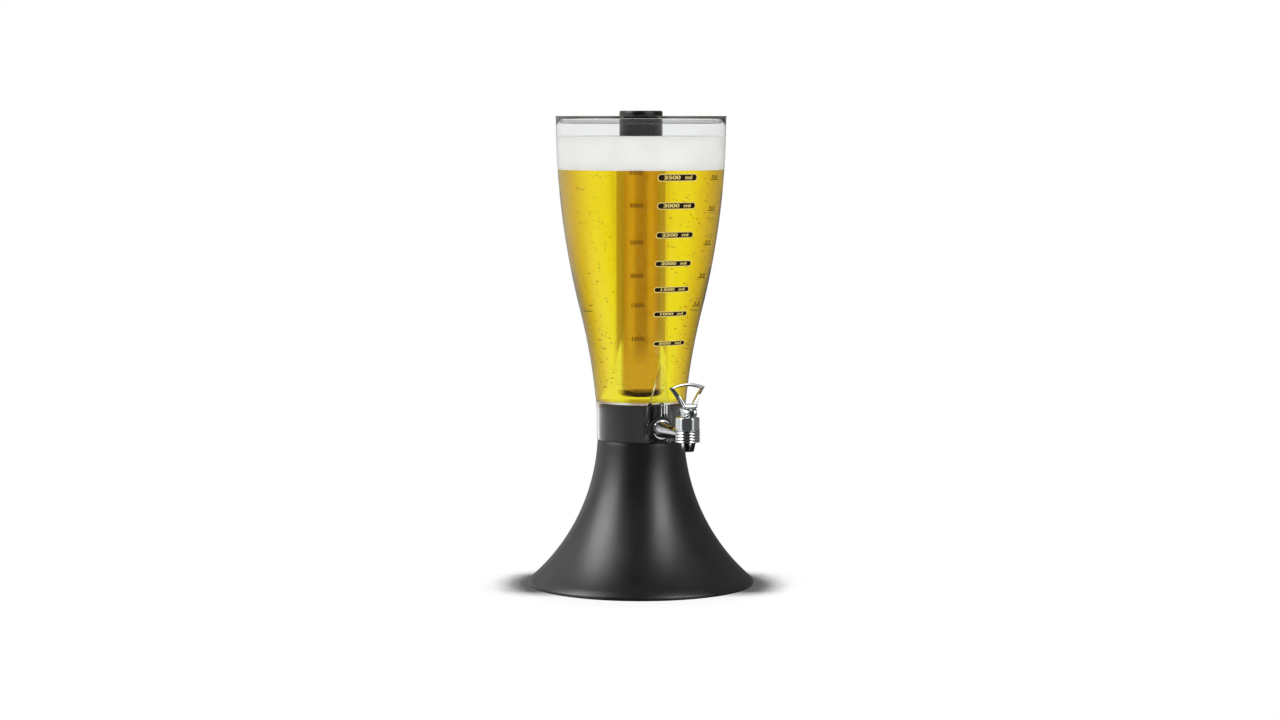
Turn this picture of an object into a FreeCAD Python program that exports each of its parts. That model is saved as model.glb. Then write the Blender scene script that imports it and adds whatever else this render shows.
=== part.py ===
import FreeCAD, Part
import math
import os
import re
import Sketcher

# Beer tower dispenser: a clear flared jar with an ice tube and a lid, on a black trumpet-shaped base,
# with a chrome lever tap. Millimetres and degrees. The origin is on the tower's axis at table level,
# +Z is up, and the tap points to -Y.

# Driving sizes
SIZES = {
    # base
    "foot_radius": 125.0,
    "pad_stand": 1.5,
    "lip_height": 4.0,
    "base_height": 163.0,
    "flare_radius": 220.0,
    "base_wall": 3.0,
    "shoulder_step": 0.9,
    "spigot_height": 40.0,
    "spigot_gap": 0.3,
    "spigot_root": 12.0,
    "spigot_fit": 0.05,
    "lip_rounding": 1.2,
    # cover, its screws and the feet under the base
    "cover_thickness": 2.0,
    "cover_gap": 0.4,
    "pad_height": 3.0,
    "pad_radius": 8.0,
    "pad_inset": 21.5,
    "pad_chamfer": 0.8,
    "post_radius": 5.0,
    "post_inset": 25.5,
    "screw_radius": 1.5,
    "screw_grip": 10.0,
    "pilot_spare": 1.0,
    "screw_head_radius": 3.6,
    "screw_head_height": 1.8,
    "screw_gap": 0.05,
    # jar
    "skirt_radius": 49.0,
    "jar_wall": 2.5,
    "collar_rise": 32.0,
    "turn_radius": 67.4,
    "turn_rise": 143.0,
    "rim_radius": 93.5,
    "jar_rise": 353.5,
    "floor_rise": 44.0,
    # outlet channel and boss
    "channel_distance": 36.0,
    "channel_radius": 8.5,
    "channel_lift": 1.0,
    "notch_gap": 0.3,
    "boss_distance": 51.5,
    "boss_face": 14.5,
    "boss_foot": 20.0,
    "boss_rise": 31.0,
    "fairing_rise": 86.0,
    "fairing_distance": 55.8,
    "fairing_tip": 1.5,
    "fairing_foot": 3.0,
    # lid
    "lid_thickness": 2.5,
    "lid_overhang": 0.5,
    "lid_dish": 1.2,
    "lid_gap": 0.5,
    "lid_ring_depth": 6.0,
    "lid_ring_wall": 2.0,
    "lid_hole_radius": 20.5,
    "lid_land": 1.2,
    # ice tube, its collar and its cap
    "tube_radius": 21.5,
    "tube_wall": 2.0,
    "tube_clearance": 5.0,
    "tube_end_radius": 12.0,
    "collar_radius": 23.75,
    "collar_length": 18.0,
    "collar_gap": 0.05,
    "cap_height": 7.0,
    "cap_rounding": 2.0,
    "stub_gap": 0.6,
    "stub_length": 14.0,
    "ring_section": 0.9,
    "ring_gap": 0.05,
    "ring_drop": 9.0,
    # tap casting
    "tap_reach": 122.0,
    "tap_rise": 15.5,
    "gasket_radius": 13.7,
    "gasket_thickness": 2.5,
    "flange_radius": 11.0,
    "flange_thickness": 3.0,
    "arm_root_radius": 9.6,
    "arm_tip_radius": 6.2,
    "arm_sweep": 400.0,
    "arm_bore_radius": 3.8,
    "shank_radius": 8.3,
    "shank_length": 10.0,
    "shank_gap": 0.05,
    "barrel_radius": 13.5,
    "barrel_rise": 6.6,
    "barrel_drop": 6.8,
    "rib_count": 4,
    "rib_pitch": 3.1,
    "rib_width": 1.2,
    "rib_depth": 0.9,
    "seat_depth": 4.2,
    "chamber_radius": 8.6,
    "neck_radius": 10.4,
    "neck_height": 6.4,
    "spout_drop": 17.0,
    "spout_root_radius": 9.1,
    "spout_tip_radius": 7.1,
    "spout_bore_radius": 5.5,
    "nozzle_neck_radius": 7.2,
    # bonnet
    "bonnet_flats": 24.0,
    "bonnet_turn": 4.0,
    "bonnet_seam": 0.3,
    "bonnet_top": 19.8,
    "bonnet_roof": 3.4,
    "bonnet_chamfer": 1.4,
    "thread_gap": 0.05,
    "washer_thickness": 0.8,
    # stem, seat cup, spring and stem seal
    "stem_radius": 3.7,
    "stem_gap": 0.05,
    "stem_collar_radius": 6.3,
    "stem_collar_low": 1.8,
    "stem_collar_thickness": 1.4,
    "stem_tail_radius": 2.2,
    "stem_tail_length": 3.4,
    "cup_radius": 6.8,
    "cup_gap": 0.05,
    "cup_chamfer": 1.2,
    "seat_gap": 0.1,
    "spring_radius": 4.9,
    "spring_wire": 0.5,
    "spring_turns": 5.5,
    "spring_gap": 0.1,
    "seal_section": 0.8,
    # lever
    "pin_height": 25.0,
    "pin_radius": 1.2,
    "pin_gap": 0.03,
    "ear_radius": 4.7,
    "ear_reach": 4.3,
    "ear_spread": 7.5,
    "ear_gap": 0.3,
    "ear_tail": 0.8,
    "slot_rise": 4.6,
    "handle_lean": 12.0,
    "handle_depth": 9.0,
    "handle_foot": 8.0,
    "handle_width": 20.0,
    "handle_foot_rise": 6.0,
    "handle_shoulder_rise": 27.5,
    "handle_crown": 50.0,
    "handle_band": 3.2,
    "handle_side_band": 3.8,
    "window_drop": 1.8,
    "window_foot": 4.6,
    "window_rise": 9.5,
}

# Sizes and heights that follow from the driving ones
DERIVED = {
    # base outline: the flare is an arc through the lip's top and the shoulder
    "zero": "0",
    "lip_top": "pad_stand + lip_height",
    "shoulder_radius": "skirt_radius - shoulder_step",
    "spigot_radius": "skirt_radius - jar_wall - spigot_gap",
    "spigot_top": "base_height + spigot_height",
    "flare_run": "foot_radius - shoulder_radius",
    "flare_rise": "base_height - lip_top",
    "flare_chord": "sqrt(pow(flare_run; 2) + pow(flare_rise; 2))",
    "flare_bow": "sqrt(pow(flare_radius; 2) - pow(flare_chord / 2; 2))",
    "flare_centre_x": "(foot_radius + shoulder_radius) / 2 + flare_bow * flare_rise / flare_chord",
    "flare_centre_z": "(lip_top + base_height) / 2 + flare_bow * flare_run / flare_chord",
    # base hollow: the same outline, one wall further in
    "hollow_foot": "foot_radius - base_wall",
    "hollow_flare": "flare_radius + base_wall",
    "hollow_lip": "flare_centre_z - sqrt(pow(hollow_flare; 2) - pow(flare_centre_x - hollow_foot; 2))",
    "hollow_neck": "flare_centre_x - sqrt(pow(hollow_flare; 2) - pow(flare_centre_z - base_height; 2))",
    # spigot: a cap-shaped moulding set into the top of the flare
    "spigot_low": "base_height - spigot_root",
    "spigot_plug": "hollow_neck - spigot_fit",
    "hollow_spigot": "spigot_plug - base_wall",
    "hollow_top": "spigot_top - base_wall",
    # under the base
    "pad_circle": "foot_radius - pad_inset",
    "post_circle": "foot_radius - post_inset",
    "cover_top": "pad_height + cover_thickness",
    "hollow_at_cover": "flare_centre_x - sqrt(pow(hollow_flare; 2) - pow(flare_centre_z - cover_top; 2))",
    "cover_radius": "min(hollow_foot; hollow_at_cover) - cover_gap",
    "screw_hole_radius": "screw_radius + screw_gap",
    "screw_length": "cover_thickness + screw_grip",
    "screw_head_low": "pad_height - screw_head_height",
    "pilot_depth": "screw_length + pilot_spare",
    # jar outline: two tangent arcs that meet at the turn
    "collar_z": "base_height + collar_rise",
    "turn_z": "base_height + turn_rise",
    "rim_z": "base_height + jar_rise",
    "floor_z": "base_height + floor_rise",
    "floor_under": "floor_z - jar_wall",
    "upper_rise": "rim_z - turn_z",
    "upper_run": "rim_radius - turn_radius",
    "upper_sweep": "(pow(upper_rise; 2) + pow(upper_run; 2)) / (2 * upper_run)",
    "turn_sine": "upper_rise / upper_sweep",
    "turn_cosine": "1 - upper_run / upper_sweep",
    "lower_rise": "turn_z - collar_z",
    "lower_run": "turn_radius - skirt_radius",
    "lower_reach": "2 * (lower_rise * turn_sine - lower_run * turn_cosine)",
    "lower_sweep": "(pow(lower_rise; 2) + pow(lower_run; 2)) / lower_reach",
    "lower_centre_x": "turn_radius + lower_sweep * turn_cosine",
    "lower_centre_z": "turn_z - lower_sweep * turn_sine",
    # jar hollow
    "inner_rim": "rim_radius - jar_wall",
    "inner_upper_sweep": "upper_sweep - jar_wall",
    "inner_lower_sweep": "lower_sweep + jar_wall",
    "inner_turn_x": "turn_radius - jar_wall * turn_cosine",
    "inner_turn_z": "turn_z + jar_wall * turn_sine",
    "outer_floor": "lower_centre_x - sqrt(pow(lower_sweep; 2) - pow(floor_z - lower_centre_z; 2))",
    "inner_floor": "lower_centre_x - sqrt(pow(inner_lower_sweep; 2) - pow(floor_z - lower_centre_z; 2))",
    "inner_skirt": "skirt_radius - jar_wall",
    "skirt_depth": "floor_under - base_height",
    # outlet channel
    "channel_outer": "channel_radius + jar_wall",
    "channel_low": "base_height + channel_lift",
    "channel_floor": "channel_low + jar_wall",
    "channel_height": "floor_under - channel_low",
    "channel_bore": "floor_z - channel_floor + jar_wall",
    "web_length": "inner_skirt - channel_distance",
    "notch_radius": "channel_outer + notch_gap",
    "notch_length": "skirt_radius - channel_distance",
    "notch_wall_radius": "notch_radius + base_wall",
    # lid
    "lid_radius": "rim_radius + lid_overhang",
    "lid_top": "rim_z + lid_thickness",
    "lid_ring_outer": "inner_rim - lid_gap",
    "lid_ring_inner": "lid_ring_outer - lid_ring_wall",
    "lid_ring_low": "rim_z - lid_ring_depth",
    "lid_land_radius": "collar_radius + lid_land",
    "lid_centre_top": "lid_top - lid_dish",
    "lid_centre_under": "rim_z - lid_dish",
    # ice tube, collar and cap
    "tube_bore": "tube_radius - tube_wall",
    "tube_low": "floor_z + tube_clearance",
    "tube_bend_z": "tube_low + tube_end_radius",
    "tube_bottom_radius": "tube_radius - tube_end_radius",
    "tube_inner_bend": "tube_end_radius - tube_wall",
    "tube_inner_low": "tube_low + tube_wall",
    "collar_bore": "tube_radius + collar_gap",
    "collar_low": "lid_centre_under - collar_length",
    "cap_top": "lid_centre_top + cap_height",
    "cap_edge_z": "cap_top - cap_rounding",
    "cap_flat": "collar_radius - cap_rounding",
    "stub_radius": "tube_bore - stub_gap",
    "stub_low": "lid_centre_top - stub_length",
    "ring_centre": "tube_bore - ring_gap - ring_section",
    "ring_root": "ring_centre - ring_section",
    "ring_z": "lid_centre_top - ring_drop",
    "ring_groove_low": "ring_z - ring_section",
    "ring_groove_top": "ring_z + ring_section",
    # tap: heights are counted from the arm's axis, and the arm's lengths from the spout's axis
    "tap_z": "base_height + tap_rise",
    "gasket_distance": "boss_distance + gasket_thickness",
    "flange_back": "tap_reach - gasket_distance",
    "flange_front": "flange_back - flange_thickness",
    "shank_end": "flange_back + shank_length",
    "shank_hole_radius": "shank_radius + shank_gap",
    "tap_hole_length": "boss_distance - channel_distance",
    "neck_top": "barrel_rise + neck_height",
    "rib_root": "barrel_radius - rib_depth",
    "nozzle_hole_radius": "nozzle_neck_radius + thread_gap",
    "rib_first": "-barrel_drop + (barrel_rise + barrel_drop - (rib_count - 1) * rib_pitch - rib_width) / 2",
    # bonnet
    "bonnet_low": "barrel_rise + bonnet_seam",
    "bonnet_height": "bonnet_top - bonnet_low",
    "bonnet_corner": "bonnet_flats / 2 / cos(30)",
    "bonnet_thread": "neck_radius + thread_gap",
    "bonnet_step": "neck_top + washer_thickness",
    "bonnet_ceiling": "bonnet_top - bonnet_roof",
    "bonnet_face": "bonnet_flats / 2 - bonnet_chamfer / 2",
    "bonnet_shoulder": "bonnet_top - bonnet_chamfer",
    "stem_hole_radius": "stem_radius + stem_gap",
    "seal_centre": "stem_radius + stem_gap + seal_section",
    "seal_groove": "seal_centre + seal_section",
    "seal_z": "bonnet_top - bonnet_roof / 2",
    "seal_groove_low": "seal_z - seal_section",
    "seal_groove_top": "seal_z + seal_section",
    # stem and cup
    "stem_collar_top": "stem_collar_low + stem_collar_thickness",
    "stem_tail_low": "stem_tail_length - stem_collar_low",
    "stem_top": "pin_height + stem_radius",
    "cup_low": "seat_depth - seat_gap",
    "cup_flat": "stem_collar_low - cup_chamfer",
    "cup_shoulder": "cup_radius - cup_chamfer",
    "cup_bore": "stem_tail_radius + cup_gap",
    "cup_bore_low": "stem_tail_low + cup_gap",
    "spring_low": "stem_collar_top + spring_wire + spring_gap",
    "spring_high": "bonnet_ceiling - spring_wire - spring_gap",
    "spring_length": "spring_high - spring_low",
    # lever: heights are counted from the pin's axis
    "pin_z": "tap_z + pin_height",
    "pin_hole_radius": "pin_radius + pin_gap",
    "ear_slot": "stem_radius + ear_gap",
    "crown_inner": "handle_crown - handle_band",
    "window_side": "handle_width - handle_side_band",
    "window_shoulder": "handle_shoulder_rise - window_drop",
}

PAD_COUNT = 6
SCREW_COUNT = 4

doc = FreeCAD.newDocument("beer_tower")
sheet = doc.addObject("Spreadsheet::Sheet", "Sizes")


def fill_sheet():
    rows = [(name, str(value)) for name, value in SIZES.items()]
    rows += [(name, "=" + text) for name, text in DERIVED.items()]
    for row, (name, text) in enumerate(rows, 1):
        sheet.set("A%d" % row, name)
        sheet.set("B%d" % row, text)
        sheet.setAlias("B%d" % row, name)
    doc.recompute()


def size(alias):
    """A sheet value as a number; a leading minus is allowed."""
    if alias.startswith("-"):
        return -size(alias[1:])
    return float(sheet.get(alias))


def bind(thing, path, text):
    """Ties a property to an expression in the sheet's names."""
    known = set(SIZES) | set(DERIVED)
    full = re.sub(r"[a-z][a-z_]*", lambda w: "Sizes." + w.group(0) if w.group(0) in known else w.group(0), text)
    thing.setExpression(path, full)


def place(thing, x="0", y="0", z="0", turn=None):
    """Puts an object at sheet expressions, turned by (axis, degrees)."""
    if turn:
        thing.Placement = FreeCAD.Placement(FreeCAD.Vector(), FreeCAD.Rotation(FreeCAD.Vector(*turn[0]), turn[1]))
    for axis, text in zip("xyz", (x, y, z)):
        if text != "0":
            bind(thing, "Placement.Base." + axis, text)
    return thing


def arc_centre(start, end, radius, side):
    """Centre of the arc from start to end; side is +1 where it lies left of the way from start to end."""
    run = (end[0] - start[0], end[1] - start[1])
    chord = math.hypot(*run)
    bow = math.sqrt(max(radius**2 - chord**2 / 4, 0.0))
    middle = ((start[0] + end[0]) / 2, (start[1] + end[1]) / 2)
    return (middle[0] - side * run[1] / chord * bow, middle[1] + side * run[0] / chord * bow)


def add_edge(sketch, start, end, arc):
    """Adds a line, or an arc given as (radius alias, side). Returns the ends' numbers, start first."""
    if not arc:
        sketch.addGeometry(Part.LineSegment(FreeCAD.Vector(*start, 0), FreeCAD.Vector(*end, 0)), False)
        return 1, 2
    radius, side = size(arc[0]), arc[1]
    centre = arc_centre(start, end, radius, side)
    angles = [math.atan2(p[1] - centre[1], p[0] - centre[0]) for p in (start, end)]
    circle = Part.Circle(FreeCAD.Vector(*centre, 0), FreeCAD.Vector(0, 0, 1), radius)
    if side > 0:
        sketch.addGeometry(Part.ArcOfCircle(circle, *angles), False)
        return 1, 2
    sketch.addGeometry(Part.ArcOfCircle(circle, angles[1], angles[0]), False)
    return 2, 1


def outline(body, plane, points, arcs=None, lift=None):
    """A closed sketch on one of the body's planes. Points are pairs of sheet names, and arcs are by edge."""
    arcs = arcs or {}
    sketch = body.newObject("Sketcher::SketchObject", "outline")
    sketch.AttachmentSupport = ([p for p in body.Origin.OriginFeatures if p.Role == plane][0], [""])
    sketch.MapMode = "FlatFace"
    if lift:
        bind(sketch, "AttachmentOffset.Base.z", lift)
    numbers = [(size(a), size(b)) for a, b in points]
    count = len(points)
    ends = [add_edge(sketch, numbers[i], numbers[(i + 1) % count], arcs.get(i)) for i in range(count)]
    for i in range(count):
        following = (i + 1) % count
        sketch.addConstraint(Sketcher.Constraint("Coincident", i, ends[i][1], following, ends[following][0]))
    for i, (across, up) in enumerate(points):
        for kind, axis, alias in (("DistanceX", -2, across), ("DistanceY", -1, up)):
            if alias == "zero":
                sketch.addConstraint(Sketcher.Constraint("PointOnObject", i, ends[i][0], axis))
                continue
            index = sketch.addConstraint(Sketcher.Constraint(kind, -1, 1, i, ends[i][0], size(alias)))
            sketch.renameConstraint(index, "%s%d" % (kind[-1].lower(), i))
            bind(sketch, "Constraints.%s%d" % (kind[-1].lower(), i), alias)
    for i, (alias, side) in arcs.items():
        index = sketch.addConstraint(Sketcher.Constraint("Radius", i, size(alias)))
        sketch.renameConstraint(index, "r%d" % i)
        bind(sketch, "Constraints.r%d" % i, alias)
    return sketch


def new_body(label):
    body = doc.addObject("PartDesign::Body", "Body")
    body.Label = label
    return body


def turned(label, points, arcs=None, plane="XZ_Plane", axis="V_Axis"):
    """A body of revolution about its own axis."""
    body = new_body(label)
    sketch = outline(body, plane, points, arcs)
    feature = body.newObject("PartDesign::Revolution", "Revolution")
    feature.Profile = sketch
    feature.ReferenceAxis = (sketch, [axis])
    feature.Angle = 360
    doc.recompute()
    return body


def padded(label, plane, points, arcs, length):
    """A body of one outline pushed out both ways, square to its plane."""
    body = new_body(label)
    pad = body.newObject("PartDesign::Pad", "Pad")
    pad.Profile = outline(body, plane, points, arcs)
    pad.Midplane = True
    bind(pad, "Length", length)
    doc.recompute()
    return body


def cylinder(label, radius, height, x="0", y="0", z="0", turn=None):
    solid = doc.addObject("Part::Cylinder", "Cylinder")
    solid.Label = label
    bind(solid, "Radius", radius)
    bind(solid, "Height", height)
    return place(solid, x, y, z, turn)


def block(label, length, width, height, x, y, z):
    """A box centred on x, running from y towards -Y, and up from z."""
    solid = doc.addObject("Part::Box", "Box")
    solid.Label = label
    for name, text in (("Length", length), ("Width", width), ("Height", height)):
        bind(solid, name, text)
    return place(solid, "%s - (%s) / 2" % (x, length), "%s - (%s)" % (y, width), z)


def torus(label, ring, section, x="0", y="0", z="0"):
    solid = doc.addObject("Part::Torus", "Torus")
    solid.Label = label
    bind(solid, "Radius1", ring)
    bind(solid, "Radius2", section)
    return place(solid, x, y, z)


def cut(label, base, *tools):
    result = doc.addObject("Part::Cut", "Cut")
    result.Base = base
    result.Tool = tools[0] if len(tools) == 1 else fuse(label + " tools", *tools)
    result.Label = label
    doc.recompute()
    if result.Shape.Volume >= base.Shape.Volume:
        raise ValueError(label + ": a cut takes nothing away")
    return result


def fuse(label, *parts):
    result = doc.addObject("Part::MultiFuse", "Fuse")
    result.Shapes = list(parts)
    result.Label = label
    doc.recompute()
    return result


def group(label, parts):
    result = doc.addObject("Part::Compound", "Compound")
    result.Links = list(parts)
    result.Label = label
    doc.recompute()
    return result


def rounded(label, source, radius, wanted):
    """Rounds the edges of source for which wanted(edge) is true."""
    doc.recompute()
    numbers = [i for i, edge in enumerate(source.Shape.Edges, 1) if wanted(edge)]
    result = doc.addObject("Part::Fillet", "Fillet")
    result.Base = source
    result.Edges = [(i, size(radius), size(radius)) for i in numbers]
    result.Label = label
    doc.recompute()
    return result


def around(count, distance):
    """Places on a circle about the tower's axis, as x and y expressions."""
    turns = [360.0 / count * (i + 0.5) for i in range(count)]
    return [("%s * cos(%.6f)" % (distance, a), "%s * sin(%.6f)" % (distance, a)) for a in turns]


def is_ring(edge, radius, height):
    """True for a full circle about the tower's axis at this radius and height."""
    curve = edge.Curve
    if curve.TypeId != "Part::GeomCircle" or not edge.isClosed():
        return False
    off = math.hypot(curve.Center.x, curve.Center.y)
    return off < 1e-4 and abs(curve.Radius - radius) < 1e-3 and abs(curve.Center.z - height) < 1e-3


# Base: a flared shell, open above and below, with short posts for the cover's screws, and a spigot set into
# its top, with a notch in front for the jar's outlet channel
def notch(label, radius, low):
    well = cylinder(label + " well", radius, "spigot_height + base_height", y="-channel_distance", z=low)
    way = block(label + " way", "2 * (%s)" % radius, "notch_length", "spigot_height + base_height",
                "0", "-channel_distance", low)
    return fuse(label, well, way)


def make_base():
    outside = turned("base outside", [
        ("zero", "pad_stand"), ("foot_radius", "pad_stand"), ("foot_radius", "lip_top"),
        ("shoulder_radius", "base_height"), ("zero", "base_height"),
    ], {2: ("flare_radius", -1)})
    hollow = turned("base hollow", [
        ("zero", "pad_stand"), ("hollow_foot", "pad_stand"), ("hollow_foot", "hollow_lip"),
        ("hollow_neck", "base_height"), ("zero", "base_height"),
    ], {2: ("hollow_flare", -1)})
    spots = around(SCREW_COUNT, "post_circle")
    posts = [cylinder("post %d" % i, "post_radius", "base_height - cover_top", x, y, "cover_top")
             for i, (x, y) in enumerate(spots)]
    pilots = [cylinder("pilot %d" % i, "screw_hole_radius", "pilot_depth", x, y, "pad_height")
              for i, (x, y) in enumerate(spots)]
    shell = cut("base shell blank", outside, cut("base hollow round the posts", hollow, *posts), *pilots)
    lip = size("pad_stand"), size("lip_top"), size("foot_radius")
    rounded("base_shell", shell, "lip_rounding",
            lambda edge: is_ring(edge, lip[2], lip[0]) or is_ring(edge, lip[2], lip[1]))


def make_spigot():
    outside = turned("spigot outside", [
        ("zero", "spigot_low"), ("spigot_plug", "spigot_low"), ("spigot_plug", "base_height"),
        ("spigot_radius", "base_height"), ("spigot_radius", "spigot_top"), ("zero", "spigot_top"),
    ])
    hollow = cylinder("spigot hollow", "hollow_spigot", "hollow_top - spigot_low", z="spigot_low")
    recess = notch("notch wall", "notch_wall_radius", "base_height - base_wall")
    cut("base_spigot", outside, cut("spigot hollow round the notch", hollow, recess),
        notch("notch", "notch_radius", "base_height"))


def make_cover():
    disc = cylinder("cover disc", "cover_radius", "cover_thickness", z="pad_height")
    spots = around(SCREW_COUNT, "post_circle")
    holes = [cylinder("cover hole %d" % i, "screw_hole_radius", "cover_thickness", x, y, "pad_height")
             for i, (x, y) in enumerate(spots)]
    cut("base_cover", disc, *holes)
    screws = []
    for i, (x, y) in enumerate(spots):
        head = cylinder("screw head %d" % i, "screw_head_radius", "screw_head_height", x, y, "screw_head_low")
        shank = cylinder("screw shank %d" % i, "screw_radius", "screw_length", x, y, "pad_height")
        screws.append(fuse("screw %d" % i, head, shank))
    group("cover_screws", screws)


def make_feet():
    feet = []
    for i, (x, y) in enumerate(around(PAD_COUNT, "pad_circle")):
        foot = doc.addObject("Part::Cone", "Cone")
        foot.Label = "foot edge %d" % i
        bind(foot, "Radius1", "pad_radius - pad_chamfer")
        bind(foot, "Radius2", "pad_radius")
        bind(foot, "Height", "pad_chamfer")
        place(foot, x, y)
        top = cylinder("foot %d" % i, "pad_radius", "pad_height - pad_chamfer", x, y, "pad_chamfer")
        feet.append(fuse("foot pad %d" % i, foot, top))
    group("foot_pads", feet)


# Jar: a flared wall bonded on to a foot, which holds the floor, the skirt over the spigot, the outlet channel
# and the boss that carries the tap
def make_boss():
    body = new_body("boss")
    sections = []
    for height, foot, face, distance in (
        ("base_height", "boss_foot", "boss_face", "boss_distance"),
        ("base_height + boss_rise", "boss_foot", "boss_face", "boss_distance"),
        ("base_height + fairing_rise", "fairing_foot", "fairing_tip", "fairing_distance"),
    ):
        corners = [("-" + foot, "-channel_distance"), ("-" + face, "-" + distance),
                   (face, "-" + distance), (foot, "-channel_distance")]
        sections.append(outline(body, "XY_Plane", corners, lift=height))
    loft = body.newObject("PartDesign::AdditiveLoft", "Loft")
    loft.Profile = sections[0]
    loft.Sections = sections[1:]
    loft.Ruled = True
    doc.recompute()
    return body


def make_jar():
    outside = turned("jar outside", [
        ("zero", "floor_z"), ("outer_floor", "floor_z"), ("turn_radius", "turn_z"),
        ("rim_radius", "rim_z"), ("zero", "rim_z"),
    ], {1: ("lower_sweep", -1), 2: ("upper_sweep", 1)})
    inside = turned("jar inside", [
        ("zero", "floor_z"), ("inner_floor", "floor_z"), ("inner_turn_x", "inner_turn_z"),
        ("inner_rim", "rim_z"), ("zero", "rim_z"),
    ], {1: ("inner_lower_sweep", -1), 2: ("inner_upper_sweep", 1)})
    cut("jar_shell", outside, inside)
    foot = turned("jar foot outside", [
        ("zero", "base_height"), ("skirt_radius", "base_height"), ("skirt_radius", "collar_z"),
        ("outer_floor", "floor_z"), ("zero", "floor_z"),
    ], {2: ("lower_sweep", -1)})
    skirt = cylinder("skirt hollow", "inner_skirt", "skirt_depth", z="base_height")
    channel = cylinder("channel wall", "channel_outer", "channel_height", y="-channel_distance", z="channel_low")
    web = block("channel web", "2 * channel_outer", "web_length", "channel_height",
                "0", "-channel_distance", "channel_low")
    skirt = cut("skirt hollow round the channel", skirt, channel, web)
    bore = cylinder("channel bore", "channel_radius", "channel_bore", y="-channel_distance", z="channel_floor")
    hole = cylinder("tap hole", "shank_hole_radius", "tap_hole_length",
                    y="-channel_distance", z="tap_z", turn=((1, 0, 0), 90))
    cut("jar_foot", fuse("jar foot blank", foot, make_boss()), outside, skirt, bore, hole)


# Lid, ice tube and cap
def make_lid():
    turned("jar_lid", [
        ("lid_hole_radius", "lid_centre_under"), ("lid_land_radius", "lid_centre_under"),
        ("lid_ring_inner", "rim_z"), ("lid_ring_inner", "lid_ring_low"), ("lid_ring_outer", "lid_ring_low"),
        ("lid_ring_outer", "rim_z"), ("lid_radius", "rim_z"), ("lid_radius", "lid_top"),
        ("lid_land_radius", "lid_centre_top"), ("lid_hole_radius", "lid_centre_top"),
    ])


def make_tube():
    turned("ice_tube", [
        ("zero", "tube_low"), ("tube_bottom_radius", "tube_low"), ("tube_radius", "tube_bend_z"),
        ("tube_radius", "lid_centre_under"), ("tube_bore", "lid_centre_under"), ("tube_bore", "tube_bend_z"),
        ("tube_bottom_radius", "tube_inner_low"), ("zero", "tube_inner_low"),
    ], {1: ("tube_end_radius", 1), 5: ("tube_inner_bend", -1)})
    turned("tube_collar", [
        ("collar_bore", "collar_low"), ("collar_radius", "collar_low"),
        ("collar_radius", "lid_centre_under"), ("collar_bore", "lid_centre_under"),
    ])


def make_cap():
    turned("tube_cap", [
        ("zero", "stub_low"), ("stub_radius", "stub_low"), ("stub_radius", "ring_groove_low"),
        ("ring_root", "ring_groove_low"), ("ring_root", "ring_groove_top"), ("stub_radius", "ring_groove_top"),
        ("stub_radius", "lid_centre_top"), ("collar_radius", "lid_centre_top"), ("collar_radius", "cap_edge_z"),
        ("cap_flat", "cap_top"), ("zero", "cap_top"),
    ], {8: ("cap_rounding", 1)})
    torus("cap_seal", "ring_centre", "ring_section", z="ring_z")


# Tap: casting, gasket, bonnet, stem, seat cup, spring and seals
def at_tap(thing):
    return place(thing, y="-tap_reach", z="tap_z")


def make_tap_body():
    barrel = turned("tap barrel", [
        ("zero", "-barrel_drop"), ("barrel_radius", "-barrel_drop"), ("barrel_radius", "barrel_rise"),
        ("neck_radius", "barrel_rise"), ("neck_radius", "neck_top"), ("zero", "neck_top"),
    ])
    arm = turned("tap arm", [
        ("zero", "zero"), ("zero", "arm_tip_radius"), ("barrel_radius", "arm_tip_radius"),
        ("flange_front", "arm_root_radius"), ("flange_front", "flange_radius"), ("flange_back", "flange_radius"),
        ("flange_back", "shank_radius"), ("shank_end", "shank_radius"), ("shank_end", "zero"),
    ], {2: ("arm_sweep", 1)}, plane="YZ_Plane", axis="H_Axis")
    chamber = turned("tap chamber", [
        ("zero", "-barrel_drop"), ("nozzle_hole_radius", "-barrel_drop"), ("nozzle_hole_radius", "-seat_depth"),
        ("chamber_radius", "-seat_depth"), ("chamber_radius", "neck_top"), ("zero", "neck_top"),
    ])
    bore = cylinder("arm bore", "arm_bore_radius", "shank_end", y="0", turn=((1, 0, 0), -90))
    ribs = []
    for i in range(int(size("rib_count"))):
        low = "rib_first + %d * rib_pitch" % i
        disc = cylinder("rib blank %d" % i, "barrel_radius + 1", "rib_width", z=low)
        core = cylinder("rib core %d" % i, "rib_root", "rib_width", z=low)
        ribs.append(cut("rib groove %d" % i, disc, core))
    blank = cut("tap casting outside", barrel, *ribs)
    arm = cut("tap arm clear of the barrel", arm, cylinder("barrel core", "rib_root - 1", "2 * arm_root_radius",
                                                           z="-arm_root_radius"))
    casting = cut("tap_body", fuse("tap casting", blank, arm), chamber, bore)
    at_tap(casting)


def make_nozzle():
    at_tap(turned("tap_nozzle", [
        ("spout_bore_radius", "-spout_drop"), ("spout_tip_radius", "-spout_drop"),
        ("spout_root_radius", "-barrel_drop"), ("nozzle_neck_radius", "-barrel_drop"),
        ("nozzle_neck_radius", "-seat_depth"), ("spout_bore_radius", "-seat_depth"),
    ]))


def make_gasket():
    ring = cylinder("gasket disc", "gasket_radius", "gasket_thickness",
                    y="-boss_distance", z="tap_z", turn=((1, 0, 0), 90))
    hole = cylinder("gasket hole", "shank_hole_radius", "gasket_thickness",
                    y="-boss_distance", z="tap_z", turn=((1, 0, 0), 90))
    cut("tap_gasket", ring, hole)


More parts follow.
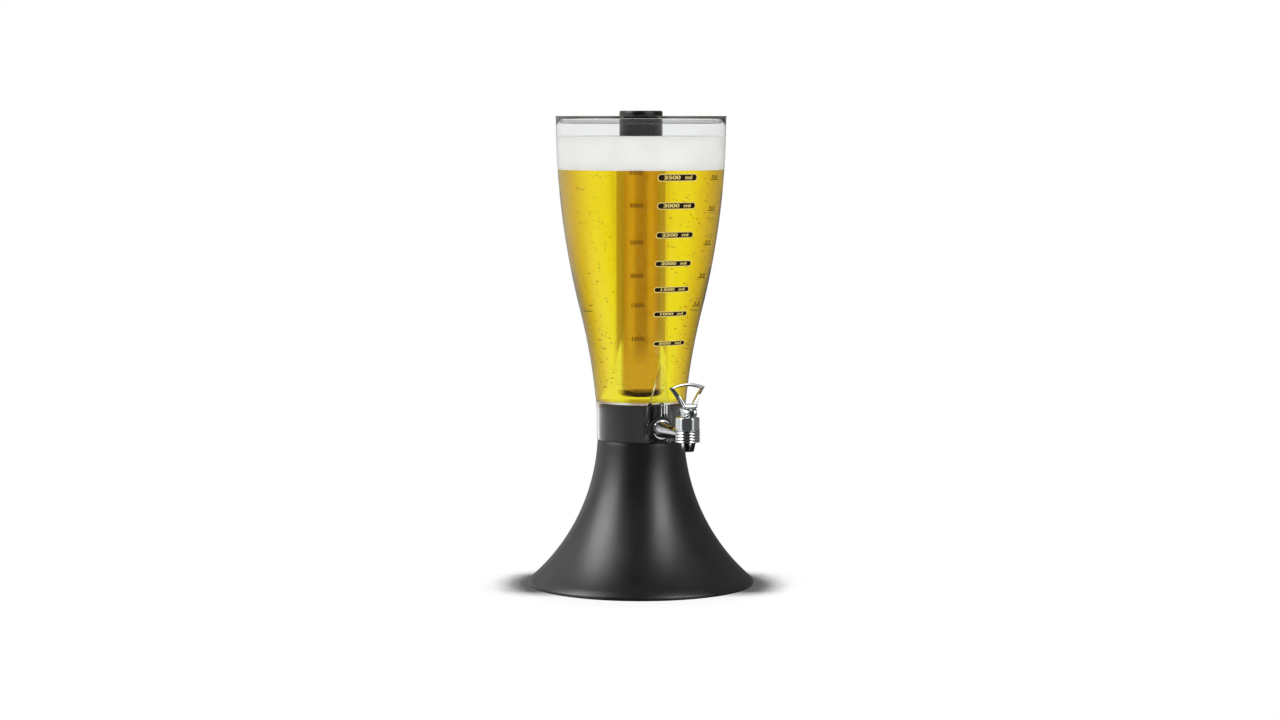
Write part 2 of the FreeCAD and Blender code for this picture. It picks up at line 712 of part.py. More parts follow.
def make_bonnet():
    prism = doc.addObject("Part::Prism", "Prism")
    prism.Label = "bonnet prism"
    prism.Polygon = 6
    bind(prism, "Circumradius", "bonnet_corner")
    bind(prism, "Height", "bonnet_height")
    place(prism, z="bonnet_low", turn=((0, 0, 1), size("bonnet_turn")))
    dome = turned("bonnet envelope", [
        ("zero", "bonnet_low"), ("bonnet_corner", "bonnet_low"), ("bonnet_corner", "bonnet_shoulder"),
        ("bonnet_face", "bonnet_top"), ("zero", "bonnet_top"),
    ])
    solid = doc.addObject("Part::MultiCommon", "Common")
    solid.Shapes = [prism, dome]
    solid.Label = "bonnet outside"
    doc.recompute()
    bore = turned("bonnet bore", [
        ("zero", "bonnet_low"), ("bonnet_thread", "bonnet_low"), ("bonnet_thread", "bonnet_step"),
        ("chamber_radius", "bonnet_step"), ("chamber_radius", "bonnet_ceiling"),
        ("stem_hole_radius", "bonnet_ceiling"), ("stem_hole_radius", "seal_groove_low"),
        ("seal_groove", "seal_groove_low"), ("seal_groove", "seal_groove_top"),
        ("stem_hole_radius", "seal_groove_top"), ("stem_hole_radius", "bonnet_top"), ("zero", "bonnet_top"),
    ])
    at_tap(cut("tap_bonnet", solid, bore))
    at_tap(turned("bonnet_washer", [
        ("chamber_radius", "neck_top"), ("neck_radius", "neck_top"),
        ("neck_radius", "bonnet_step"), ("chamber_radius", "bonnet_step"),
    ]))
    torus("stem_seal", "seal_centre", "seal_section", y="-tap_reach", z="tap_z + seal_z")


def make_stem():
    rod = turned("stem rod", [
        ("zero", "-stem_tail_low"), ("stem_tail_radius", "-stem_tail_low"), ("stem_tail_radius", "stem_collar_low"),
        ("stem_collar_radius", "stem_collar_low"), ("stem_collar_radius", "stem_collar_top"),
        ("stem_radius", "stem_collar_top"), ("stem_radius", "pin_height"), ("zero", "stem_top"),
    ], {6: ("stem_radius", 1)})
    hole = cylinder("stem pin hole", "pin_hole_radius", "4 * stem_radius",
                    x="-2 * stem_radius", z="pin_height", turn=((0, 1, 0), 90))
    at_tap(cut("tap_stem", rod, hole))
    at_tap(turned("seat_cup", [
        ("zero", "-cup_low"), ("cup_radius", "-cup_low"), ("cup_radius", "cup_flat"),
        ("cup_shoulder", "stem_collar_low"), ("cup_bore", "stem_collar_low"),
        ("cup_bore", "-cup_bore_low"), ("zero", "-cup_bore_low"),
    ]))


def make_spring():
    body = new_body("stem_spring")
    sketch = body.newObject("Sketcher::SketchObject", "wire section")
    sketch.AttachmentSupport = ([p for p in body.Origin.OriginFeatures if p.Role == "XZ_Plane"][0], [""])
    sketch.MapMode = "FlatFace"
    centre = FreeCAD.Vector(size("spring_radius"), size("spring_low"), 0)
    sketch.addGeometry(Part.Circle(centre, FreeCAD.Vector(0, 0, 1), size("spring_wire")), False)
    for kind, alias in (("DistanceX", "spring_radius"), ("DistanceY", "spring_low")):
        index = sketch.addConstraint(Sketcher.Constraint(kind, -1, 1, 0, 3, size(alias)))
        sketch.renameConstraint(index, kind.lower())
        bind(sketch, "Constraints." + kind.lower(), alias)
    index = sketch.addConstraint(Sketcher.Constraint("Radius", 0, size("spring_wire")))
    sketch.renameConstraint(index, "wire")
    bind(sketch, "Constraints.wire", "spring_wire")
    helix = body.newObject("PartDesign::AdditiveHelix", "Helix")
    helix.Profile = sketch
    helix.ReferenceAxis = (sketch, ["V_Axis"])
    helix.Mode = "height-turns-angle"
    bind(helix, "Height", "spring_length")
    bind(helix, "Turns", "spring_turns")
    doc.recompute()
    at_tap(body)


# Lever: a flared stirrup on two ears that ride on the bonnet and lift the stem by its pin
def make_handle():
    rounds = [cylinder("ear round %d" % i, "ear_radius", "2 * ear_spread", "-ear_spread", y, turn=((0, 1, 0), 90))
              for i, y in enumerate(("ear_tail", "-ear_reach"))]
    middle = block("ear middle", "2 * ear_spread", "ear_reach + ear_tail", "2 * ear_radius",
                   "0", "ear_tail", "-ear_radius")
    ears = fuse("handle ears", *rounds, middle)
    lean = size("handle_lean")
    stirrup = padded("handle stirrup", "XZ_Plane", [
        ("-handle_foot", "zero"), ("handle_foot", "zero"), ("handle_foot", "handle_foot_rise"),
        ("handle_width", "handle_shoulder_rise"), ("-handle_width", "handle_shoulder_rise"),
        ("-handle_foot", "handle_foot_rise"),
    ], {3: ("handle_crown", 1)}, "handle_depth")
    window = padded("handle window", "XZ_Plane", [
        ("-window_foot", "window_rise"), ("window_foot", "window_rise"),
        ("window_side", "window_shoulder"), ("-window_side", "window_shoulder"),
    ], {2: ("crown_inner", 1)}, "3 * handle_depth")
    for body in (stirrup, window):
        place(body, y="-ear_reach", turn=((1, 0, 0), -lean))
    slot = block("ear slot", "2 * ear_slot", "6 * ear_radius", "slot_rise + 2 * ear_radius",
                 "0", "3 * ear_radius", "-2 * ear_radius")
    pin_hole = cylinder("ear pin hole", "pin_radius", "4 * ear_spread", x="-2 * ear_spread", turn=((0, 1, 0), 90))
    handle = cut("tap_handle", fuse("handle blank", ears, stirrup), window, slot, pin_hole)
    place(handle, y="-tap_reach", z="pin_z")
    cylinder("handle_pin", "pin_radius", "2 * ear_spread", x="-ear_spread", y="-tap_reach", z="pin_z",
             turn=((0, 1, 0), 90))


NODES = (
    "base_shell", "base_spigot", "base_cover", "cover_screws", "foot_pads", "jar_shell", "jar_foot", "jar_lid",
    "ice_tube", "tube_collar", "tube_cap", "cap_seal", "tap_gasket", "tap_body", "tap_nozzle", "tap_bonnet",
    "bonnet_washer", "stem_seal", "tap_stem", "seat_cup", "stem_spring", "tap_handle", "handle_pin",
)


def main():
    fill_sheet()
    make_base()
    make_spigot()
    make_cover()
    make_feet()
    make_jar()
    make_lid()
    make_tube()
    make_cap()
    make_tap_body()
    make_nozzle()
    make_gasket()
    make_bonnet()
    make_stem()
    make_spring()
    make_handle()
    doc.recompute()
    for thing in doc.Objects:
        if {"Invalid", "Error"} & set(thing.State):
            raise ValueError("%s failed: %s" % (thing.Label, thing.State))
    os.makedirs("parts", exist_ok=True)
    for name in NODES:
        thing = doc.getObjectsByLabel(name)[0]
        if thing.Shape.isNull() or not thing.Shape.isValid():
            raise ValueError(name + " has no valid shape")
        thing.Shape.exportStep("parts/%s.step" % name)
        box = thing.Shape.BoundBox
        print("%-14s %d solid(s) %10.1f mm3  x %.1f..%.1f y %.1f..%.1f z %.1f..%.1f" % (
            name, len(thing.Shape.Solids), thing.Shape.Volume,
            box.XMin, box.XMax, box.YMin, box.YMax, box.ZMin, box.ZMax))


main()
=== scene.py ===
import math
import random
import bmesh
import bpy
from mathutils import Matrix, Vector, noise


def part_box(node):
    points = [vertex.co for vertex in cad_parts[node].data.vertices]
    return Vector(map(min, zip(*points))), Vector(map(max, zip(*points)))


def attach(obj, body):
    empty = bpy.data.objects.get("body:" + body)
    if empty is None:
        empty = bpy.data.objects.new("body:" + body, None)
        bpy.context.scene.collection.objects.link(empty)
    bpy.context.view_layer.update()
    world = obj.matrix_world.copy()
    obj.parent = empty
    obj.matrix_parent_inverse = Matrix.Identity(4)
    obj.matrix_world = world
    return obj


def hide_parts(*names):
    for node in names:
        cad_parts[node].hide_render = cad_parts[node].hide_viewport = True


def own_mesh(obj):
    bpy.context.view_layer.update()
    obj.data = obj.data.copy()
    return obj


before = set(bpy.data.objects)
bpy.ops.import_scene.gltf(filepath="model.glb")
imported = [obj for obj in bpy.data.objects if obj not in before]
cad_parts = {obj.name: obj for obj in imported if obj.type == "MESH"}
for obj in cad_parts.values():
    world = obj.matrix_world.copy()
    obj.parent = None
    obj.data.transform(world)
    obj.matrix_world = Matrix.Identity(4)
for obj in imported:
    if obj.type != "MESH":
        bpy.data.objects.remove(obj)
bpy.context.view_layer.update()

# Beer tower dispenser: a clear flared jar of beer on a black trumpet-shaped base, with a chrome lever tap.
# Metres, in the frame of the CAD model: the axis is Z, the table is z = 0 and the tap points to -Y.

MM = 0.001
TURNS = 160

# Heights and radii that the frame gives
foot_low, foot_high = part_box("base_shell")
skirt_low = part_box("jar_foot")[0].z
floor_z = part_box("jar_shell")[0].z
rim_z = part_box("jar_shell")[1].z
rim_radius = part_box("jar_shell")[1].x
tube_low, tube_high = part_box("ice_tube")
lid_low, lid_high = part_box("jar_lid")
collar_low, collar_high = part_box("tube_collar")
cap_low, cap_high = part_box("tube_cap")
nozzle_low, nozzle_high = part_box("tap_nozzle")
pin_low, pin_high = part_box("handle_pin")
tap_y = (nozzle_low.y + nozzle_high.y) / 2
tap_z = nozzle_high.z + 4.2 * MM
pin_z = (pin_low.z + pin_high.z) / 2

# Driving sizes of the jar's curve, as in the CAD model
SKIRT_RADIUS = 49.0 * MM
TURN_RADIUS = 67.4 * MM
COLLAR_RISE = 32.0 * MM
TURN_RISE = 143.0 * MM
WALL = 2.5 * MM

# Sizes that several pieces share
TUBE_WALL = 2.0 * MM
TUBE_BEND = 12 * MM
CAP_HEIGHT = 7.0 * MM  # of the cap above the lid's dished centre
SEAM = 0.05 * MM  # gap between pieces that lie on each other
BARREL_RADIUS = 13.5 * MM
BARREL_LOW = -6.8 * MM  # from the arm's axis, as SEAT_LEDGE
SEAT_LEDGE = -4.2 * MM

# What the jar holds, from its floor up
BEER_TOP = floor_z + 253.6 * MM
FOAM_TOP = floor_z + 290.5 * MM
WETTING = 0.6 * MM  # the drink is drawn this far into the wall, so that no film of air shows between them

# Where the photograph was taken from, round the tower from the tap's side
VIEW_AZIMUTH = math.radians(-24.0)
VIEW_DISTANCE = 3.15
VIEW_HEIGHT = skirt_low + 0.355
VIEW_TILT = math.radians(4.86)
VIEW_LENS = 80.4
FLOOR_RADIUS = 0.7


# Mesh helpers
def arc(centre, radius, start, end, steps):
    """Points on an arc in degrees, from start to end, both kept."""
    angles = [math.radians(start + (end - start) * i / steps) for i in range(steps + 1)]
    return [(centre[0] + radius * math.cos(a), centre[1] + radius * math.sin(a)) for a in angles]


def lathe(outline, turns=TURNS):
    """Turns a closed outline of (radius, height) pairs about Z."""
    bm = bmesh.new()
    verts = [bm.verts.new((radius, 0, height)) for radius, height in outline]
    edges = [bm.edges.new(pair) for pair in zip(verts, verts[1:] + verts[:1])]
    bmesh.ops.spin(bm, geom=verts + edges, cent=(0, 0, 0), axis=(0, 0, 1), angle=math.tau, steps=turns,
                   use_merge=True, use_duplicate=False)
    bmesh.ops.remove_doubles(bm, verts=bm.verts, dist=1e-6)
    bmesh.ops.dissolve_degenerate(bm, edges=bm.edges, dist=1e-7)
    bmesh.ops.recalc_face_normals(bm, faces=bm.faces)
    return bm


def merge(*parts):
    """One bmesh that holds several, as closed shells of one piece."""
    whole = bmesh.new()
    for part in parts:
        mesh = bpy.data.meshes.new("part")
        part.to_mesh(mesh)
        part.free()
        whole.from_mesh(mesh)
        bpy.data.meshes.remove(mesh)
    return whole


def soften(bm, edges, width, segments=3):
    bmesh.ops.bevel(bm, geom=edges, offset=width, offset_type="OFFSET", affect="EDGES", segments=segments,
                    profile=0.5, material=-1, clamp_overlap=True)


def sharp_edges(bm, degrees):
    limit = math.radians(degrees)
    return [e for e in bm.edges if len(e.link_faces) == 2 and e.calc_face_angle(0) > limit]


def copy_of(node):
    """The CAD node's mesh with its loose triangles joined."""
    bm = bmesh.new()
    bm.from_mesh(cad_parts[node].data)
    bmesh.ops.remove_doubles(bm, verts=bm.verts, dist=1e-6)
    return bm


def piece(name, bm, material, body, slot, *nodes, crease=35, at=None):
    """Makes an object from a bmesh, smooth apart from its creases, and hangs it on its body."""
    if at:
        bmesh.ops.translate(bm, verts=bm.verts, vec=at)
    for face in bm.faces:
        face.smooth = True
    for edge in sharp_edges(bm, crease):
        edge.smooth = False
    mesh = bpy.data.meshes.new(name)
    bm.to_mesh(mesh)
    bm.free()
    thing = bpy.data.objects.new(name, mesh)
    mesh.materials.append(material)
    bpy.context.scene.collection.objects.link(thing)
    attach(thing, body)
    if nodes:
        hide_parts(*nodes)
    return thing


# Material helpers
def colour(text, alpha=1.0):
    """An sRGB hex value as linear light."""
    parts = [int(text[i:i + 2], 16) / 255 for i in (0, 2, 4)]
    return (*[c / 12.92 if c <= 0.04045 else ((c + 0.055) / 1.055) ** 2.4 for c in parts], alpha)


def add(tree, kind, inputs=None, stops=None, **settings):
    """Adds a node with its settings. Each input gets a value or is linked to another node's output."""
    made = tree.nodes.new(kind)
    for name, value in settings.items():
        setattr(made, name, value)
    if stops:
        steps = made.color_ramp.elements
        steps.remove(steps[1])
        steps[0].position, steps[0].color = stops[0]
        for spot, shade in stops[1:]:
            steps.new(spot).color = shade
    for name, value in (inputs or {}).items():
        if isinstance(value, bpy.types.NodeSocket):
            tree.links.new(value, made.inputs[name])
        else:
            made.inputs[name].default_value = value
    return made


def new_material(name):
    material = bpy.data.materials.new(name)
    material.use_nodes = True
    material.node_tree.nodes.clear()
    return material, material.node_tree


def per_metre(size):
    """Noise scale on Object coordinates for a grain of this size."""
    return 1.0 / size


def finish(tree, surface, volume=None):
    add(tree, "ShaderNodeOutputMaterial", {"Surface": surface, **({"Volume": volume} if volume else {})})


def moulded_plastic(name, shade, worn, roughness, grain, depth):
    """Moulded plastic: a fine spark-eroded grain that breaks the gloss into a satin sheen, with faint
    patches where hands have polished or dulled it."""
    material, tree = new_material(name)
    place = add(tree, "ShaderNodeTexCoord").outputs["Object"]
    fine = add(tree, "ShaderNodeTexNoise", {"Vector": place, "Scale": per_metre(grain), "Detail": 2.0})
    patch = add(tree, "ShaderNodeTexNoise", {"Vector": place, "Scale": per_metre(35 * MM), "Detail": 3.0})
    gloss = add(tree, "ShaderNodeMapRange", {"Value": patch.outputs["Fac"], "From Min": 0.3, "From Max": 0.7,
                                             "To Min": roughness * 0.88, "To Max": roughness * 1.12})
    tint = add(tree, "ShaderNodeValToRGB", {"Fac": patch.outputs["Fac"]},
               stops=[(0.35, colour(shade)), (0.75, colour(worn))])
    bump = add(tree, "ShaderNodeBump", {"Height": fine.outputs["Fac"], "Strength": 0.25, "Distance": depth})
    skin = add(tree, "ShaderNodeBsdfPrincipled", {
        "Base Color": tint.outputs["Color"], "Roughness": gloss.outputs["Result"], "IOR": 1.53,
        "Normal": bump.outputs["Normal"]})
    finish(tree, skin.outputs["BSDF"])
    return material


def chrome_plate():
    """Bright chrome over cast zinc: a near mirror, a trace blue, with the slow waviness that polishing
    leaves and a few duller patches from handling."""
    material, tree = new_material("chrome_plated_zinc")
    place = add(tree, "ShaderNodeTexCoord").outputs["Object"]
    wave = add(tree, "ShaderNodeTexNoise", {"Vector": place, "Scale": per_metre(6 * MM), "Detail": 1.0})
    smear = add(tree, "ShaderNodeTexNoise", {"Vector": place, "Scale": per_metre(9 * MM), "Detail": 4.0})
    gloss = add(tree, "ShaderNodeMapRange", {
        "Value": smear.outputs["Fac"], "From Min": 0.35, "From Max": 0.75, "To Min": 0.04, "To Max": 0.12})
    bump = add(tree, "ShaderNodeBump", {
        "Height": wave.outputs["Fac"], "Strength": 0.06, "Distance": 0.15 * MM})
    skin = add(tree, "ShaderNodeBsdfPrincipled", {
        "Base Color": colour("e3e6e8"), "Metallic": 1.0, "Roughness": gloss.outputs["Result"],
        "Normal": bump.outputs["Normal"]})
    finish(tree, skin.outputs["BSDF"])
    return material


def turned_steel():
    """Stainless steel rod and wire: greyer than chrome, with the fine rings of the lathe tool."""
    material, tree = new_material("turned_stainless_steel")
    place = add(tree, "ShaderNodeTexCoord").outputs["Object"]
    rings = add(tree, "ShaderNodeTexWave", {"Vector": place, "Scale": per_metre(0.4 * MM) / math.tau},
                wave_type="BANDS", bands_direction="Z")
    bump = add(tree, "ShaderNodeBump", {
        "Height": rings.outputs["Fac"], "Strength": 0.1, "Distance": 0.02 * MM})
    skin = add(tree, "ShaderNodeBsdfPrincipled", {
        "Base Color": colour("b9bbbd"), "Metallic": 1.0, "Roughness": 0.24, "Normal": bump.outputs["Normal"]})
    finish(tree, skin.outputs["BSDF"])
    return material


def soft_rubber(name, shade, roughness):
    """Moulded rubber or silicone: matt, with a dusty fine grain that takes the edge off every highlight."""
    material, tree = new_material(name)
    place = add(tree, "ShaderNodeTexCoord").outputs["Object"]
    grain = add(tree, "ShaderNodeTexNoise", {"Vector": place, "Scale": per_metre(0.5 * MM), "Detail": 3.0})
    bump = add(tree, "ShaderNodeBump", {
        "Height": grain.outputs["Fac"], "Strength": 0.3, "Distance": 0.04 * MM})
    skin = add(tree, "ShaderNodeBsdfPrincipled", {
        "Base Color": colour(shade), "Roughness": roughness, "IOR": 1.5, "Normal": bump.outputs["Normal"]})
    finish(tree, skin.outputs["BSDF"])
    return material


def clear_plastic(name, tint, smoke):
    """Clear moulded plastic: glass-like, a trace grey that shows where it is seen edge-on, with the slight
    waviness of the mould and hairline scuffs that catch the light."""
    material, tree = new_material(name)
    place = add(tree, "ShaderNodeTexCoord").outputs["Object"]
    wave = add(tree, "ShaderNodeTexNoise", {"Vector": place, "Scale": per_metre(40 * MM), "Detail": 1.0})
    scuff = add(tree, "ShaderNodeTexNoise", {"Vector": place, "Scale": per_metre(4 * MM), "Detail": 6.0,
                                             "Distortion": 1.5})
    gloss = add(tree, "ShaderNodeMapRange", {"Value": scuff.outputs["Fac"], "From Min": 0.6, "From Max": 0.8,
                                             "To Min": 0.0, "To Max": 0.06})
    bump = add(tree, "ShaderNodeBump", {
        "Height": wave.outputs["Fac"], "Strength": 0.08, "Distance": 0.3 * MM})
    skin = add(tree, "ShaderNodeBsdfPrincipled", {
        "Base Color": colour(tint), "Roughness": gloss.outputs["Result"], "IOR": 1.49,
        "Specular Tint": colour("909090"), "Transmission Weight": 1.0, "Normal": bump.outputs["Normal"]})
    depth = add(tree, "ShaderNodeVolumeAbsorption", {"Color": colour("7f8283"), "Density": smoke})
    finish(tree, skin.outputs["BSDF"], depth.outputs["Volume"])
    return material


def smoked_plastic():
    """Smoke-brown translucent plastic of the ice tube: dims and browns the drink that is seen through it."""
    material, tree = new_material("smoke_tinted_plastic")
    place = add(tree, "ShaderNodeTexCoord").outputs["Object"]
    wave = add(tree, "ShaderNodeTexNoise", {"Vector": place, "Scale": per_metre(25 * MM), "Detail": 1.0})
    bump = add(tree, "ShaderNodeBump", {"Height": wave.outputs["Fac"], "Strength": 0.1, "Distance": 0.3 * MM})
    skin = add(tree, "ShaderNodeBsdfPrincipled", {
        "Base Color": colour("ecd4b0"), "Roughness": 0.1, "IOR": 1.49, "Transmission Weight": 1.0,
        "Normal": bump.outputs["Normal"]})
    finish(tree, skin.outputs["BSDF"])
    return material


def lager():
    """Pale lager: clear, with water's IOR, and a golden tint that deepens with the thickness seen."""
    material, tree = new_material("pale_lager")
    place = add(tree, "ShaderNodeTexCoord").outputs["Object"]
    haze = add(tree, "ShaderNodeTexNoise", {"Vector": place, "Scale": per_metre(3 * MM), "Detail": 3.0})
    gloss = add(tree, "ShaderNodeMapRange", {"Value": haze.outputs["Fac"], "To Min": 0.0, "To Max": 0.05})
    skin = add(tree, "ShaderNodeBsdfPrincipled", {
        "Base Color": colour("fffbe0"), "Roughness": gloss.outputs["Result"], "IOR": 1.34,
        "Specular Tint": colour("d8b030"), "Transmission Weight": 1.0})
    depth = add(tree, "ShaderNodeVolumeAbsorption", {"Color": colour("fffb00"), "Density": 38.0})
    finish(tree, skin.outputs["BSDF"], depth.outputs["Volume"])
    return material


def beer_foam():
    """Beer foam: white, matt and soft, of packed bubbles about a millimetre across that dimple its skin. A
    little glow stands for the light that wanders through it."""
    material, tree = new_material("beer_foam")
    place = add(tree, "ShaderNodeTexCoord").outputs["Object"]
    cells = add(tree, "ShaderNodeTexVoronoi", {"Vector": place, "Scale": per_metre(1.1 * MM)})
    drift = add(tree, "ShaderNodeTexNoise", {"Vector": place, "Scale": per_metre(14 * MM), "Detail": 4.0})
    tint = add(tree, "ShaderNodeValToRGB", {"Fac": drift.outputs["Fac"]},
               stops=[(0.3, colour("f0efec")), (0.7, colour("fbfbf9"))])
    bump = add(tree, "ShaderNodeBump", {"Height": cells.outputs["Distance"], "Strength": 0.25,
                                        "Distance": 0.2 * MM})
    skin = add(tree, "ShaderNodeBsdfPrincipled", {
        "Base Color": tint.outputs["Color"], "Roughness": 0.85, "IOR": 1.33, "Normal": bump.outputs["Normal"],
        "Emission Color": colour("fffefa"), "Emission Strength": 0.27})
    finish(tree, skin.outputs["BSDF"])
    return material


def bubble_painted_glint():
    """Gas bubbles in the lager as bright rings: a pale, partly matt colour paints the light that turns back
    inside them.
    """
    material, tree = new_material("bubble_painted_glint")
    place = add(tree, "ShaderNodeTexCoord").outputs["Object"]
    mixed = add(tree, "ShaderNodeTexNoise", {"Vector": place, "Scale": per_metre(8 * MM)})
    tint = add(tree, "ShaderNodeValToRGB", {"Fac": mixed.outputs["Fac"]},
               stops=[(0.4, colour("ffe98a")), (0.6, colour("fff8d8"))])
    skin = add(tree, "ShaderNodeBsdfPrincipled", {
        "Base Color": tint.outputs["Color"], "Roughness": 0.1, "IOR": 1.33, "Transmission Weight": 0.6})
    finish(tree, skin.outputs["BSDF"])
    return material


def screen_ink(name, shade, thin):
    """Screen-printed ink: matt and dense, with the slight unevenness of the mesh it was pressed through."""
    material, tree = new_material(name)
    place = add(tree, "ShaderNodeTexCoord").outputs["Object"]
    mesh = add(tree, "ShaderNodeTexNoise", {"Vector": place, "Scale": per_metre(0.8 * MM), "Detail": 2.0})
    tint = add(tree, "ShaderNodeValToRGB", {"Fac": mesh.outputs["Fac"]},
               stops=[(0.35, colour(shade)), (0.8, colour(thin))])
    skin = add(tree, "ShaderNodeBsdfPrincipled", {
        "Base Color": tint.outputs["Color"], "Roughness": 0.6, "IOR": 1.5, "Specular IOR Level": 0.15})
    finish(tree, skin.outputs["BSDF"])
    return material


base_black = moulded_plastic("satin_black_abs", "171718", "1e1e1f", 0.33, 0.5 * MM, 0.02 * MM)
spigot_black = moulded_plastic("matt_black_abs", "0e0e0f", "151516", 0.5, 0.5 * MM, 0.03 * MM)
cap_black = moulded_plastic("gloss_black_polypropylene", "101011", "161617", 0.28, 0.6 * MM, 0.02 * MM)
chrome = chrome_plate()
steel = turned_steel()
rubber = soft_rubber("black_nitrile_rubber", "171717", 0.75)
silicone = soft_rubber("milky_silicone", "cfcdc6", 0.6)
clear = clear_plastic("clear_san_plastic", "f1f2f2", 5.0)
lid_clear = clear_plastic("clear_polystyrene", "eceeee", 14.0)
smoked = smoked_plastic()
beer = lager()
foam = beer_foam()
bubble = bubble_painted_glint()
dark_ink = screen_ink("dark_brown_ink", "1c0f05", "2c1a0a")
cream_ink = screen_ink("cream_ink", "fbe58c", "f2d870")
faint_ink = screen_ink("thin_brown_ink", "6a4208", "8a5a0e")
fine_ink = screen_ink("brown_ink", "2c1c06", "4e3208")


# Jar: the wall's radius at a height, a little in from the outside
turn_z = skirt_low + TURN_RISE
upper_run = rim_radius - TURN_RADIUS
upper_rise = rim_z - turn_z
upper_sweep = (upper_rise**2 + upper_run**2) / (2 * upper_run)
turn_sine = upper_rise / upper_sweep
turn_cosine = 1 - upper_run / upper_sweep
lower_rise = turn_z - skirt_low - COLLAR_RISE
lower_run = TURN_RADIUS - SKIRT_RADIUS
lower_sweep = (lower_rise**2 + lower_run**2) / (2 * (lower_rise * turn_sine - lower_run * turn_cosine))
lower_centre = (TURN_RADIUS + lower_sweep * turn_cosine, turn_z - lower_sweep * turn_sine)


def jar_radius(height, inset=0.0):
    if height > turn_z + inset * turn_sine:
        return rim_radius - upper_sweep + math.sqrt((upper_sweep - inset)**2 - (height - rim_z)**2)
    return lower_centre[0] - math.sqrt((lower_sweep + inset)**2 - (height - lower_centre[1])**2)


def jar_line(low, high, inset, steps=36):
    """The wall's outline between two heights, upwards."""
    heights = [low + (high - low) * i / steps for i in range(steps + 1)]
    return [(jar_radius(h, inset), h) for h in heights]


def make_jar():
    lip = 0.7 * MM
    seam = 0.03 * MM
    outer = jar_line(floor_z + seam, rim_z - lip, 0.0)
    inner = jar_line(floor_z + seam, rim_z - lip, WALL)
    inner.reverse()
    outer_lip = arc((jar_radius(rim_z) - lip, rim_z - lip), lip, 0, 90, 4)[1:]
    inner_lip = arc((jar_radius(rim_z, WALL) + lip, rim_z - lip), lip, 90, 180, 4)[:-1]
    wall = outer + outer_lip + inner_lip + inner
    piece("jar_wall", lathe(wall), clear, "jar", "clear_plastic", "jar_shell")
    piece("jar_foot_moulding", copy_of("jar_foot"), clear, "jar", "clear_plastic", "jar_foot", crease=25)


# Beer, foam and bubbles
def tube_pocket(gap, top):
    """Outline of the ice tube grown by gap, from its top down to the axis."""
    radius = tube_high.x + gap
    low = tube_low.z - gap
    bend = TUBE_BEND + gap
    return [(radius, top)] + arc((radius - bend, low + bend), bend, 0, -90, 10) + [(0, low)]


def make_drink():
    inset = WALL - WETTING
    low = floor_z - WETTING
    gap = 0.3 * MM
    outline = [(0, low)] + jar_line(floor_z, BEER_TOP, inset) + tube_pocket(gap, BEER_TOP)
    piece("beer", lathe(outline), beer, "jar", "clear_plastic")
    head_low = BEER_TOP + 0.1 * MM
    outline = jar_line(head_low, FOAM_TOP, inset, 12)
    outline += [(tube_high.x + gap, FOAM_TOP), (tube_high.x + gap, head_low)]
    head = lathe(outline)
    top = [v for v in head.verts if v.co.z > FOAM_TOP - 0.1 * MM]
    swell, frequency = 0.8 * MM, 60
    for vert in top:
        vert.co.z -= swell * (0.5 + 0.5 * noise.noise(vert.co * frequency))
    piece("beer_head", head, foam, "jar", "clear_plastic", crease=60)


def make_bubbles():
    chance = random.Random(7)
    swarm = bmesh.new()
    for number in range(1500):
        height = chance.uniform(floor_z + 10 * MM, BEER_TOP - 3 * MM)
        turn = chance.uniform(0, math.tau)
        reach = jar_radius(height, WALL) - chance.uniform(1.5, 9) * MM
        size = chance.uniform(0.35, 0.75) * MM if number else 1.3 * MM
        spot = Vector((reach * math.cos(turn), reach * math.sin(turn), height))
        bmesh.ops.create_icosphere(swarm, subdivisions=1, radius=size, matrix=Matrix.Translation(spot))
    piece("bubbles", swarm, bubble, "jar", "clear_plastic", crease=80)


# Lid, ice tube, collar and cap
def make_lid():
    under = rim_z
    centre_top = cap_high.z - CAP_HEIGHT
    centre_under = collar_high.z
    hole = 20.5 * MM
    land = collar_high.x + 1.2 * MM
    ring_gap, ring_wall = 0.5 * MM, 2.0 * MM
    ring_out = jar_radius(rim_z, WALL) - ring_gap
    ring_in = ring_out - ring_wall
    edge, brim = 0.6 * MM, 0.2 * MM
    outline = [
        (hole, centre_under), (land, centre_under), (ring_in, under), (ring_in, lid_low.z + edge),
        *arc((ring_in + edge, lid_low.z + edge), edge, 180, 270, 3),
        *arc((ring_out - edge, lid_low.z + edge), edge, 270, 360, 3),
        (ring_out, under + SEAM), (lid_high.x - brim, under + SEAM),
        *arc((lid_high.x - edge, lid_high.z - edge), edge, 0, 90, 4),
        (land, centre_top), (hole, centre_top),
    ]
    piece("lid_disc", lathe(outline), lid_clear, "lid", "clear_plastic", "jar_lid", crease=30)


def make_tube():
    bore = tube_high.x - TUBE_WALL
    corner = (tube_high.x - TUBE_BEND, tube_low.z + TUBE_BEND)
    outside = [(tube_high.x, tube_high.z)] + arc(corner, TUBE_BEND, 0, -90, 10)
    inside = arc(corner, TUBE_BEND - TUBE_WALL, -90, 0, 10) + [(bore, tube_high.z)]
    outline = outside + [(0, tube_low.z), (0, tube_low.z + TUBE_WALL)] + inside
    piece("ice_tube_wall", lathe(outline, 96), smoked, "lid", "clear_plastic", "ice_tube")
    edge = 0.8 * MM
    inner = tube_high.x + SEAM
    ring = [
        (inner, collar_high.z), (inner, collar_low.z + edge),
        *arc((inner + edge, collar_low.z + edge), edge, 180, 270, 3)[1:],
        *arc((collar_high.x - edge, collar_low.z + edge), edge, 270, 360, 3), (collar_high.x, collar_high.z),
    ]
    piece("tube_collar_ring", lathe(ring, 96), cap_black, "lid", "cap_black", "tube_collar")


